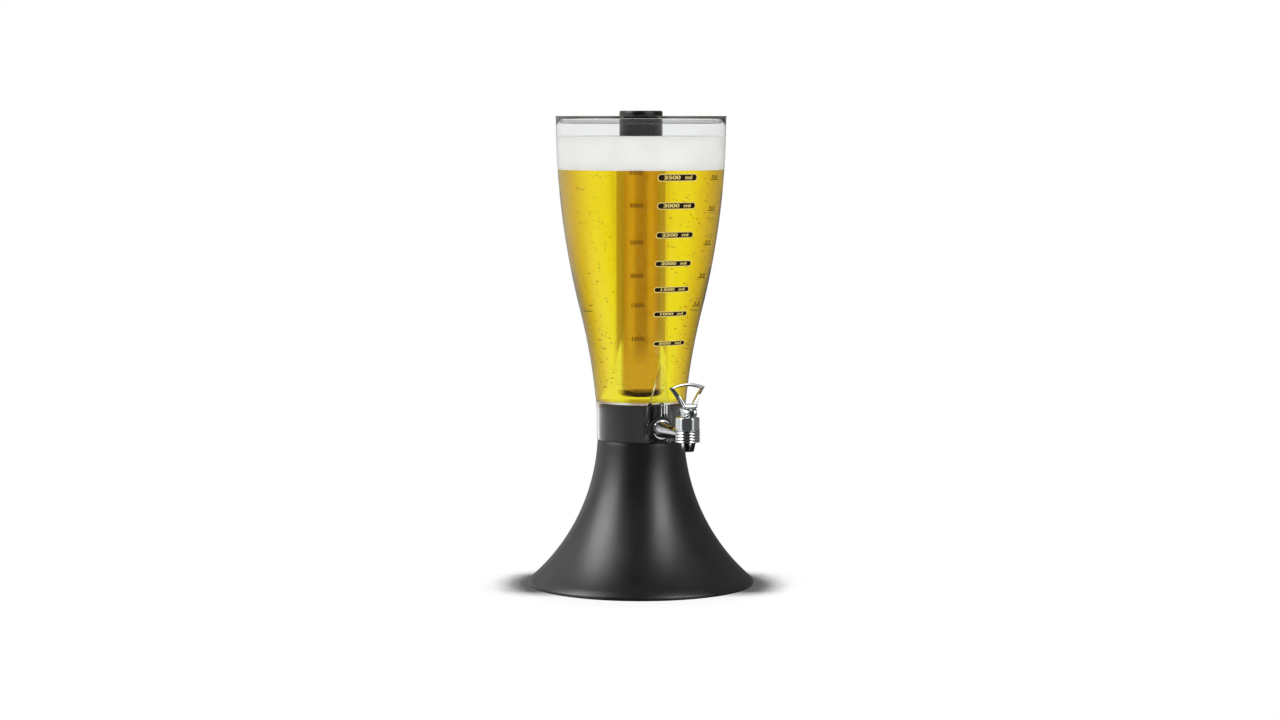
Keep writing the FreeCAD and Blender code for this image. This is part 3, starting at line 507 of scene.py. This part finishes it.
def make_cap():
    under = cap_high.z - CAP_HEIGHT
    stub = 18.9 * MM
    bend = 2.0 * MM
    seal_low, seal_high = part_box("cap_seal")
    ring_width = 1.8 * MM
    groove = seal_high.x - ring_width
    stub_chamfer, rim_chamfer = 0.6 * MM, 0.4 * MM
    outline = [
        (0, cap_low.z), (stub - stub_chamfer, cap_low.z), (stub, cap_low.z + stub_chamfer),
        (stub, seal_low.z), (groove, seal_low.z), (groove, seal_high.z), (stub, seal_high.z), (stub, under),
        (cap_high.x - rim_chamfer, under), (cap_high.x, under + rim_chamfer),
        *arc((cap_high.x - bend, cap_high.z - bend), bend, 0, 90, 6), (0, cap_high.z),
    ]
    piece("cap_knob", lathe(outline, 96), cap_black, "cap", "cap_black", "tube_cap", crease=30)


# Base: a flared shell on a rounded lip, and the spigot in its top
def make_base():
    foot = foot_high.x
    lip_top = foot_low.z + 4.0 * MM
    shoulder_step = 0.9 * MM
    shoulder = SKIRT_RADIUS - shoulder_step
    flare = 220.0 * MM
    wall = 3.0 * MM
    edge = 1.2 * MM
    run, rise = foot - shoulder, skirt_low - lip_top
    chord = math.hypot(run, rise)
    bow = math.sqrt(flare**2 - chord**2 / 4)
    centre = ((foot + shoulder) / 2 + bow * rise / chord, (lip_top + skirt_low) / 2 + bow * run / chord)

    def flare_line(radius, low, high, steps=30):
        heights = [low + (high - low) * i / steps for i in range(steps + 1)]
        return [(centre[0] - math.sqrt(radius**2 - (centre[1] - h)**2), h) for h in heights]

    rounding = 0.5 * MM
    outside = arc((foot - edge, foot_low.z + edge), edge, -90, 0, 5) + [(foot, lip_top - edge * 0.7)]
    outside += flare_line(flare, lip_top + edge * 0.5, skirt_low - rounding)
    outside += [(shoulder - 0.2 * MM, skirt_low)]
    hollow_lip = centre[1] - math.sqrt((flare + wall)**2 - (centre[0] - foot + wall)**2)
    inside = flare_line(flare + wall, hollow_lip, skirt_low)
    inside.reverse()
    shell = outside + inside + [(foot - wall, foot_low.z)]
    piece("base_flare", lathe(shell, 192), base_black, "base", "base_black", "base_shell", crease=50)
    piece("base_neck_spigot", copy_of("base_spigot"), spigot_black, "base", "base_black", "base_spigot")


# Tap: casting, nozzle, bonnet, stem and lever. Heights here are counted from the arm's axis.
AT_TAP = (0, tap_y, tap_z)


def make_tap_body():
    """Grooved barrel with its chamber, and the arm with its flange and shank."""
    barrel, low, high = BARREL_RADIUS, BARREL_LOW, 6.6 * MM
    pitch, width, depth, ribs = 3.1 * MM, 1.6 * MM, 1.3 * MM, 4
    neck, neck_top = 10.4 * MM, 13.0 * MM
    chamber, nozzle_hole = 8.6 * MM, 7.25 * MM
    bend = 0.3 * MM
    first = low + (high - low - (ribs - 1) * pitch - width) / 2
    side = [(barrel - bend, low), (barrel, low + bend)]
    for i in range(ribs):
        foot = first + i * pitch
        side += [
            (barrel, foot - bend / 2), (barrel - bend / 2, foot + bend / 4), (barrel - depth, foot + width),
            (barrel - bend / 2, foot + width), (barrel, foot + width + bend / 2)]
    side += [(barrel, high - bend), (barrel - bend, high), (neck, high), (neck, neck_top)]
    core = [(chamber, neck_top), (chamber, SEAT_LEDGE), (nozzle_hole, SEAT_LEDGE), (nozzle_hole, low)]
    shell = lathe(side + core, 96)
    gasket_distance = 54.0 * MM
    flange, flange_thickness = 11.0 * MM, 3.0 * MM
    shank, shank_length, bore = 8.3 * MM, 10.0 * MM, 3.8 * MM
    flange_back = -tap_y - gasket_distance
    flange_front = flange_back - flange_thickness
    shank_end = flange_back + shank_length
    reach = 12.8 * MM
    sweep = 400.0 * MM
    tip, root = 6.2 * MM, 9.6 * MM
    steps = 14
    lengths = [barrel + (flange_front - barrel) * i / steps for i in range(steps + 1)]
    chord = math.hypot(flange_front - barrel, root - tip)
    sag = chord**2 / (8 * sweep)

    def arm_radius(length):
        share = (length - barrel) / (flange_front - barrel)
        return tip + (root - tip) * share - 4 * sag * share * (1 - share)

    arm = [(bore, reach), (tip, reach)] + [(arm_radius(length), length) for length in lengths]
    arm += [
        (root + 0.6 * MM, flange_front), (flange - bend, flange_front), (flange, flange_front + bend),
        (flange, flange_back - bend), (flange - bend, flange_back), (shank, flange_back),
        (shank, shank_end), (bore, shank_end)]
    stalk = lathe(arm, 96)
    lay_down = Matrix.Rotation(math.radians(-90), 3, "X")
    bmesh.ops.rotate(stalk, verts=stalk.verts, cent=(0, 0, 0), matrix=lay_down)
    piece("tap_casting", merge(shell, stalk), chrome, "jar", "chrome", "tap_body", crease=38, at=AT_TAP)


def make_nozzle():
    low, top = nozzle_low.z - tap_z, BARREL_LOW
    root, tip, bore, neck = 9.1 * MM, 7.1 * MM, 5.5 * MM, 7.2 * MM
    bend = 0.5 * MM
    outline = [
        (bore, low + bend), (bore + bend, low), (tip - bend, low), (tip, low + bend), (root, top),
        (neck, top), (neck, SEAT_LEDGE), (bore, SEAT_LEDGE),
    ]
    piece("tap_spout", lathe(outline, 96), chrome, "jar", "chrome", "tap_nozzle", at=AT_TAP)


def make_bonnet():
    """Hexagonal nut with round edges. It is solid here, because its bore can't be seen."""
    low, top = 6.9 * MM, 19.8 * MM
    half_flats, turn = 12.0 * MM, math.radians(4)
    corner = half_flats / math.cos(math.radians(30))
    bm = bmesh.new()
    place = Matrix.Translation((0, 0, low)) @ Matrix.Rotation(turn, 4, "Z")
    bmesh.ops.create_circle(bm, cap_ends=True, segments=6, radius=corner, matrix=place)
    lid = bmesh.ops.extrude_face_region(bm, geom=list(bm.faces))
    raised = [v for v in lid["geom"] if isinstance(v, bmesh.types.BMVert)]
    bmesh.ops.translate(bm, verts=raised, vec=(0, 0, top - low))
    bmesh.ops.recalc_face_normals(bm, faces=bm.faces)
    upright = [e for e in bm.edges if abs(e.verts[0].co.z - e.verts[1].co.z) > 1 * MM]
    corner_rounding, crown_rounding = 3.2 * MM, 1.3 * MM
    soften(bm, upright, corner_rounding, 6)
    crown = [e for e in bm.edges if min(v.co.z for v in e.verts) > top - 0.01 * MM]
    soften(bm, crown, crown_rounding, 4)
    piece("tap_bonnet_nut", bm, chrome, "jar", "chrome", "tap_bonnet", crease=24, at=AT_TAP)


def make_stem():
    rod, tail, collar = 3.7 * MM, 2.2 * MM, 6.3 * MM
    tail_low, collar_foot, collar_top = -1.6 * MM, 1.8 * MM, 3.2 * MM
    pin = pin_z - tap_z
    outline = [
        (0, tail_low), (tail, tail_low), (tail, collar_foot), (collar, collar_foot), (collar, collar_top),
        (rod, collar_top), *arc((0, pin), rod, 0, 90, 10)]
    piece("tap_stem_rod", lathe(outline, 64), steel, "stem", "steel", "tap_stem", at=AT_TAP)


def make_spring():
    """The spring rides on the stem."""
    coil = piece("return_spring", copy_of("stem_spring"), steel, "stem", "steel", "stem_spring", crease=60)
    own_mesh(coil)


def make_handle():
    """A flared stirrup with a crown and a window, on two ears. Heights here are counted from the pin."""
    tail, reach = 0.8 * MM, 4.3 * MM
    ear, spread, slot = 4.7 * MM, 7.5 * MM, 4.0 * MM
    lean = math.radians(12)
    foot, width = 8.0 * MM, 20.0 * MM
    foot_rise, shoulder = 6.0 * MM, 27.5 * MM
    crown = 50.0 * MM
    depth = 9.0 * MM
    band, side_band = 3.2 * MM, 3.8 * MM
    steps = 8

    def flank(half_low, half_high, low, high, bow):
        """One side, upwards: straight at the foot and flaring outwards to the tip."""
        rise = high - low
        return [(half_low + (half_high - half_low) * s - 4 * bow * s * (1 - s), low + rise * s)
                for s in [i / steps for i in range(steps + 1)]]

    def crown_line(half, rise, radius):
        """The crown's arc from its right end to its left."""
        span = math.degrees(math.asin(half / radius))
        centre = (0, rise - math.sqrt(radius**2 - half**2))
        return arc(centre, radius, 90 - span, 90 + span, steps)

    def loop(right, top):
        """A closed loop of right side, crown and mirrored left side."""
        return right + top[1:-1] + [(-x, z) for x, z in reversed(right)]

    window_top = shoulder - 1.8 * MM
    half = width - side_band
    window_foot, window_rise = 4.6 * MM, 9.5 * MM
    outer_bow, inner_bow = 0.9 * MM, 0.7 * MM
    outer = loop(flank(foot, width, foot_rise, shoulder, outer_bow), crown_line(width, shoulder, crown))
    inner = loop(flank(window_foot, half, window_rise, window_top, inner_bow),
                 crown_line(half, window_top, crown - band))
    bm = bmesh.new()
    sides, bulge = 20, 0.82
    rings = []
    for (x0, z0), (x1, z1) in zip(outer, inner):
        section = []
        for i in range(sides):
            angle = math.tau * i / sides
            across = math.copysign(abs(math.cos(angle))**bulge, math.cos(angle))
            along = math.copysign(abs(math.sin(angle))**bulge, math.sin(angle))
            share = (1 - across) / 2
            spot = (x0 + (x1 - x0) * share, along * depth / 2, z0 + (z1 - z0) * share)
            section.append(bm.verts.new(spot))
        rings.append(section)
    for here, there in zip(rings, rings[1:] + rings[:1]):
        for i in range(sides):
            bm.faces.new((here[i], here[i - 1], there[i - 1], there[i]))
    bmesh.ops.recalc_face_normals(bm, faces=bm.faces)
    bmesh.ops.rotate(bm, verts=bm.verts, cent=(0, 0, 0), matrix=Matrix.Rotation(-lean, 3, "X"))
    bmesh.ops.translate(bm, verts=bm.verts, vec=(0, -reach, 0))
    cheeks = []
    for side in (-1, 1):
        cheek = bmesh.new()
        hull = []
        for y in (tail, -reach):
            place = Matrix.Translation((side * slot, y, 0)) @ Matrix.Rotation(math.radians(90), 4, "Y")
            hull += bmesh.ops.create_circle(cheek, segments=32, radius=ear, matrix=place)["verts"]
        edge_ring = bmesh.ops.convex_hull(cheek, input=hull)
        loose = [g for g in edge_ring["geom_interior"] if isinstance(g, bmesh.types.BMVert)]
        bmesh.ops.delete(cheek, geom=loose, context="VERTS")
        bmesh.ops.dissolve_limit(cheek, angle_limit=0.01, verts=cheek.verts, edges=cheek.edges)
        grown = bmesh.ops.extrude_face_region(cheek, geom=list(cheek.faces))
        bmesh.ops.translate(cheek, verts=[v for v in grown["geom"] if isinstance(v, bmesh.types.BMVert)],
                            vec=(side * (spread - slot), 0, 0))
        bmesh.ops.recalc_face_normals(cheek, faces=cheek.faces)
        outside = [e for e in sharp_edges(cheek, 50) if all(abs(v.co.x) > 6 * MM for v in e.verts)]
        soften(cheek, outside, 0.6 * MM, 3)
        cheeks.append(cheek)
    bridge = bmesh.new()
    bridge_place = Matrix.Translation((0, -reach - 1.1 * MM, 6.6 * MM)) @ Matrix.Rotation(-lean, 4, "X")
    bridge_size = Matrix.Diagonal((15.6 * MM, 8.4 * MM, 4.4 * MM, 1))
    bmesh.ops.create_cube(bridge, size=1.0, matrix=bridge_place @ bridge_size)
    soften(bridge, list(bridge.edges), 1.2 * MM, 3)
    piece("tap_lever", merge(bm, *cheeks, bridge), chrome, "handle", "chrome", "tap_handle",
          crease=32, at=(0, tap_y, pin_z))


# Printed marks: each lies on the jar's curved surface
def on_jar(bm, turn, height, lift):
    """Wraps a flat mark in the X-Y plane on to the jar: X goes round it and Y up it."""
    for vert in bm.verts:
        level = height + vert.co.y
        radius = jar_radius(level) + lift
        angle = turn + vert.co.x / radius
        vert.co = (radius * math.sin(angle), -radius * math.cos(angle), level)


def pill(width, tall):
    """A flat bar with round ends."""
    bm = bmesh.new()
    bmesh.ops.create_grid(bm, x_segments=48, y_segments=4, size=0.5)
    for vert in bm.verts:
        end = max(0.0, abs(vert.co.x) * width - (width - tall) / 2)
        rise = math.sqrt(max(0.0, tall**2 / 4 - end**2))
        vert.co = (vert.co.x * width, vert.co.y * 2 * rise, 0)
    return bm


def words(text, tall, width):
    """Flat lettering, centred and drawn out to a width, as a mesh."""
    curve = bpy.data.curves.new("lettering", "FONT")
    curve.body = text
    curve.size = tall
    curve.offset = tall * 0.03
    curve.align_x, curve.align_y = "CENTER", "CENTER"
    thing = bpy.data.objects.new("lettering", curve)
    bpy.context.scene.collection.objects.link(thing)
    bpy.context.view_layer.update()
    mesh = bpy.data.meshes.new_from_object(thing)
    bm = bmesh.new()
    bm.from_mesh(mesh)
    bmesh.ops.triangulate(bm, faces=bm.faces)
    reach = max(abs(v.co.x) for v in bm.verts)
    bmesh.ops.scale(bm, verts=bm.verts, vec=(width / 2 / reach, 1, 1))
    bpy.data.objects.remove(thing)
    bpy.data.curves.remove(curve)
    return bm


def make_marks():
    """The scale of volumes: dark bars with cream edges and figures, and two fainter scales beside it.
    Heights are counted from the jar's floor."""
    scale = [  # millilitres, height, turn from the tap in degrees, width and height of the bar
        (3500, 246.2, 2.4, 47.0, 6.4), (3000, 215.9, 2.4, 45.5, 5.9), (2500, 184.4, 2.4, 44.5, 5.4),
        (2000, 153.4, 3.1, 43.5, 5.0), (1500, 125.1, 3.9, 42.5, 4.6), (1000, 98.2, 5.7, 41.5, 4.3),
        (500, 65.6, 8.7, 40.0, 4.0),
    ]
    edges, bars, figures = [], [], []
    for amount, height, turn, width, tall in scale:
        turn, height = math.radians(turn), floor_z + height * MM
        for store, mark, lift in (
            (edges, pill((width + 1.8) * MM, (tall + 1.8) * MM), 0.06),
            (bars, pill(width * MM, tall * MM), 0.10),
            (figures, words("%d  ml" % amount, tall * 0.85 * MM, width * 0.72 * MM), 0.14),
        ):
            bmesh.ops.recalc_face_normals(mark, faces=mark.faces)
            on_jar(mark, turn, height, lift * MM)
            store.append(mark)
    piece("scale_bar_edges", merge(*edges), cream_ink, "jar", "clear_plastic", crease=80)
    piece("scale_bars", merge(*bars), dark_ink, "jar", "clear_plastic", crease=80)
    piece("scale_figures", merge(*figures), cream_ink, "jar", "clear_plastic", crease=80)
    ticks, fine = [], []
    left_turn, right_turn, lift = math.radians(-27.4), math.radians(37.0), 0.1 * MM
    left_scale = ((3500, 251.4), (3000, 216.2), (2500, 176.6), (2000, 140.4), (1500, 108.0), (1000, 71.0))
    for amount, height in left_scale:
        label = words("%d" % amount, 6.0 * MM, 15 * MM)
        on_jar(label, left_turn, floor_z + height * MM, lift)
        ticks.append(label)
    right_scale = ((3.5, 243.5), (3.0, 210.0), (2.5, 172.5), (2.0, 136.5), (1.5, 105.5))
    for amount, height in right_scale:
        line, figure = pill(17 * MM, 0.9 * MM), words("%.1f" % amount, 4.6 * MM, 12 * MM)
        for shape, rise in ((line, 0.0), (figure, 2.8 * MM)):
            on_jar(shape, right_turn, floor_z + height * MM + rise, lift)
            fine.append(shape)
    piece("left_scale", merge(*ticks), faint_ink, "jar", "clear_plastic", crease=80)
    piece("right_scale", merge(*fine), fine_ink, "jar", "clear_plastic", crease=80)


def dress_cad_nodes():
    """Small CAD pieces keep their shape and get their own finish."""
    for material, nodes in (
        (base_black, ("base_cover",)), (steel, ("cover_screws", "handle_pin")),
        (rubber, ("foot_pads", "cap_seal", "tap_gasket", "bonnet_washer", "stem_seal")),
        (silicone, ("seat_cup",)),
    ):
        for node in nodes:
            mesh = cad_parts[node].data
            mesh.materials.clear()
            mesh.materials.append(material)


# Studio
def make_floor():
    """A round white table top. The camera sees it white but for a painted shadow near the foot."""
    bm = bmesh.new()
    bmesh.ops.create_circle(bm, cap_ends=True, segments=128, radius=FLOOR_RADIUS)
    mesh = bpy.data.meshes.new("floor")
    bm.to_mesh(mesh)
    bm.free()
    floor = bpy.data.objects.new("floor", mesh)
    bpy.context.scene.collection.objects.link(floor)
    material, tree = new_material("white_floor")
    path = add(tree, "ShaderNodeLightPath")
    rays = {0: path.outputs["Is Camera Ray"], 1: path.outputs["Is Transmission Ray"]}
    seen = add(tree, "ShaderNodeMath", rays, operation="MAXIMUM")
    # Painted shadow: ambient occlusion dims the floor's glow near the foot, and a mask along the camera's
    # direction keeps it beside the foot, a little backwards, and thin in front and behind.
    place = add(tree, "ShaderNodeTexCoord").outputs["Object"]
    toward = (math.sin(VIEW_AZIMUTH), -math.cos(VIEW_AZIMUTH), 0)
    ahead = add(tree, "ShaderNodeVectorMath", {0: place, 1: toward}, operation="DOT_PRODUCT")
    shift = add(tree, "ShaderNodeMath", {0: ahead.outputs["Value"], 1: 5 * MM}, operation="ADD")
    apart = add(tree, "ShaderNodeMath", {0: shift.outputs[0]}, operation="ABSOLUTE")
    # How dark the painted shadow may get: darkest beside the foot, faint ahead of it and behind it.
    painted_shadow_darkest = add(tree, "ShaderNodeMapRange", {
        "Value": apart.outputs[0], "From Min": 55 * MM, "From Max": 95 * MM, "To Min": 0.12, "To Max": 0.95})
    shade = add(tree, "ShaderNodeAmbientOcclusion", {"Distance": 90 * MM}, samples=32)
    # The painted shadow's tone: the floor's glow is dimmed where the occlusion is high.
    painted_shadow_tone = add(tree, "ShaderNodeMapRange", {
        "Value": shade.outputs["AO"], "From Min": 0.90, "From Max": 0.957,
        "To Min": painted_shadow_darkest.outputs["Result"], "To Max": 1.0})
    matt = add(tree, "ShaderNodeBsdfDiffuse", {"Color": colour("f2f2f2")})
    glow = add(tree, "ShaderNodeEmission", {"Color": colour("ffffff"), "Strength": painted_shadow_tone.outputs["Result"]})
    both = add(tree, "ShaderNodeMixShader", {0: seen.outputs[0], 1: matt.outputs[0], 2: glow.outputs[0]})
    finish(tree, both.outputs[0])
    mesh.materials.append(material)
    floor.visible_glossy = False


def steps_of(levels, low, high):
    """Ramp stops from places, scaled from low and high to 0 and 1, each with a grey level or a colour."""
    shades = [colour(level) if isinstance(level, str) else (level, level, level, 1) for _, level in levels]
    return [((place - low) / (high - low), shade) for (place, _), shade in zip(levels, shades)]


def make_world():
    """White behind the object, even grey for its soft light, and soft boxes with dark gaps for its gloss.
    Turns are in degrees from the photograph's camera, to its right."""
    world = bpy.data.worlds.new("studio")
    bpy.context.scene.world = world
    world.use_nodes = True
    tree = world.node_tree
    tree.nodes.clear()
    path = add(tree, "ShaderNodeLightPath")
    way = add(tree, "ShaderNodeTexCoord").outputs["Generated"]
    parts = add(tree, "ShaderNodeSeparateXYZ", {"Vector": way})
    angle = add(tree, "ShaderNodeMath", {0: parts.outputs["X"], 1: parts.outputs["Y"]}, operation="ARCTAN2")
    turn = add(tree, "ShaderNodeMath", {0: math.tau - VIEW_AZIMUTH, 1: angle.outputs[0]},
               operation="SUBTRACT")
    share = add(tree, "ShaderNodeMath", {0: turn.outputs[0], 1: math.tau}, operation="DIVIDE")
    circle = add(tree, "ShaderNodeMath", {0: share.outputs[0]}, operation="FRACT").outputs[0]
    walls = add(tree, "ShaderNodeValToRGB", {"Fac": circle}, stops=steps_of((
        (-180, 0.2), (-165, 0.4), (-152, 0.6), (-125, 0.8), (-110, 0.7), (-98, 0.7), (-88, 1.0), (-52, 1.0),
        (-42, 0.07), (24, 0.07), (34, 0.55), (68, 0.8), (78, 0.18), (162, 0.16), (172, 0.2)), -180, 180))
    boxes = add(tree, "ShaderNodeValToRGB", {"Fac": circle}, stops=steps_of((
        (-106, 0.0), (-92, 1.0), (-66, 1.0), (-52, 0.0), (24, 0.0), (36, 0.8), (54, 0.8), (66, 0.0)),
        -180, 180))
    level = add(tree, "ShaderNodeMapRange", {"Value": parts.outputs["Z"], "From Min": -1.0})
    height = level.outputs["Result"]
    rise = add(tree, "ShaderNodeValToRGB", {"Fac": height}, stops=steps_of((
        (-0.65, 0.0), (-0.55, 0.15), (-0.30, 0.15), (-0.20, 0.0), (0.15, 0.0), (0.38, 1.0), (0.74, 1.0),
        (0.93, 0.0)), -1, 1))
    roof = add(tree, "ShaderNodeValToRGB", {"Fac": height}, stops=steps_of((
        (-0.30, 0.06), (-0.14, 1.0), (0.16, 1.0), (0.19, 0.35), (0.25, 0.35), (0.29, 1.0), (0.80, 1.0),
        (0.92, 0.15)), -1, 1))
    low = add(tree, "ShaderNodeMath", {0: walls.outputs["Color"], 1: roof.outputs["Color"]},
              operation="MULTIPLY")
    lift = add(tree, "ShaderNodeMath", {0: boxes.outputs["Color"], 1: rise.outputs["Color"]},
               operation="MULTIPLY")
    box_strength = 6.0
    gloss = add(tree, "ShaderNodeMath", {0: lift.outputs[0], 1: box_strength, 2: low.outputs[0]},
                operation="MULTIPLY_ADD")
    behind = add(tree, "ShaderNodeValToRGB", {"Fac": circle}, stops=steps_of((
        (-180, "c8b6a6"), (-176, "c8b6a6"), (-168, "ffffff"), (-160, "ffffff"), (-153, "f2e2ce"),
        (-143, "d8c0a4"), (-130, "bca488"), (-105, "bca488"), (-85, "ffffff"), (85, "ffffff"),
        (105, "bca488"), (130, "bca488"), (143, "d8c0a4"), (153, "f2e2ce"), (160, "ffffff"),
        (168, "ffffff"), (174, "c8b6a6")), -180, 180))
    # Light bent upwards by the drink or the wall meets the bands, and light that goes straight meets white.
    bent = add(tree, "ShaderNodeMapRange", {
        "Value": parts.outputs["Z"], "From Min": 0.006, "From Max": 0.018})
    tinted = add(tree, "ShaderNodeMix", {"Factor": bent.outputs["Result"], "A": colour("ffffff"),
                                         "B": behind.outputs["Color"]}, data_type="RGBA")
    plain = add(tree, "ShaderNodeBackground", {"Color": colour("ffffff"), "Strength": 1.0})
    light = add(tree, "ShaderNodeBackground", {"Color": colour("ffffff"), "Strength": 0.75})
    shine = add(tree, "ShaderNodeBackground", {"Color": colour("ffffff"), "Strength": gloss.outputs[0]})
    through = add(tree, "ShaderNodeBackground", {"Color": tinted.outputs["Result"], "Strength": 1.1})
    one = add(tree, "ShaderNodeMixShader", {0: path.outputs["Is Glossy Ray"], 1: light.outputs[0],
                                            2: shine.outputs[0]})
    two = add(tree, "ShaderNodeMixShader", {0: path.outputs["Is Transmission Ray"], 1: one.outputs[0],
                                            2: through.outputs[0]})
    whole = add(tree, "ShaderNodeMixShader", {0: path.outputs["Is Camera Ray"], 1: two.outputs[0],
                                              2: plain.outputs[0]})
    add(tree, "ShaderNodeOutputWorld", {"Surface": whole.outputs[0]})


def at_view(turn, distance, height):
    """A point round the tower, its turn in degrees to the right of the photograph's camera."""
    angle = VIEW_AZIMUTH + math.radians(turn)
    return Vector((distance * math.sin(angle), -distance * math.cos(angle), height))


def make_lamp(name, turn, distance, height, size, power):
    light = bpy.data.lights.new(name, "AREA")
    light.shape = "RECTANGLE"
    light.size, light.size_y = size
    light.energy = power
    lamp = bpy.data.objects.new(name, light)
    bpy.context.scene.collection.objects.link(lamp)
    lamp.location = at_view(turn, distance, height)
    lamp.rotation_euler = (Vector((0, 0, 0.25)) - lamp.location).to_track_quat("-Z", "Y").to_euler()
    lamp.visible_camera = False
    lamp.visible_glossy = False
    lamp.visible_transmission = False


def make_camera():
    data = bpy.data.cameras.new("camera")
    data.lens = VIEW_LENS
    data.sensor_width = 36.0
    data.clip_end = 50.0
    camera = bpy.data.objects.new("camera", data)
    bpy.context.scene.collection.objects.link(camera)
    camera.location = at_view(0, VIEW_DISTANCE, VIEW_HEIGHT)
    camera.rotation_euler = (math.pi / 2 - VIEW_TILT, 0, VIEW_AZIMUTH + math.radians(0.02))
    bpy.context.scene.camera = camera


def main():
    make_base()
    make_jar()
    make_drink()
    make_bubbles()
    make_tube()
    make_lid()
    make_cap()
    make_tap_body()
    make_nozzle()
    make_bonnet()
    make_stem()
    make_spring()
    make_handle()
    make_marks()
    dress_cad_nodes()
    make_floor()
    make_world()
    make_lamp("left_box", -70, 1.6, 0.9, (0.5, 1.4), 6)
    make_lamp("right_box", 50, 1.8, 0.8, (0.5, 1.4), 3)
    make_camera()
    scene = bpy.context.scene
    scene.view_settings.view_transform = "Standard"
    scene.cycles.max_bounces = 24
    scene.cycles.transmission_bounces = 24


main()
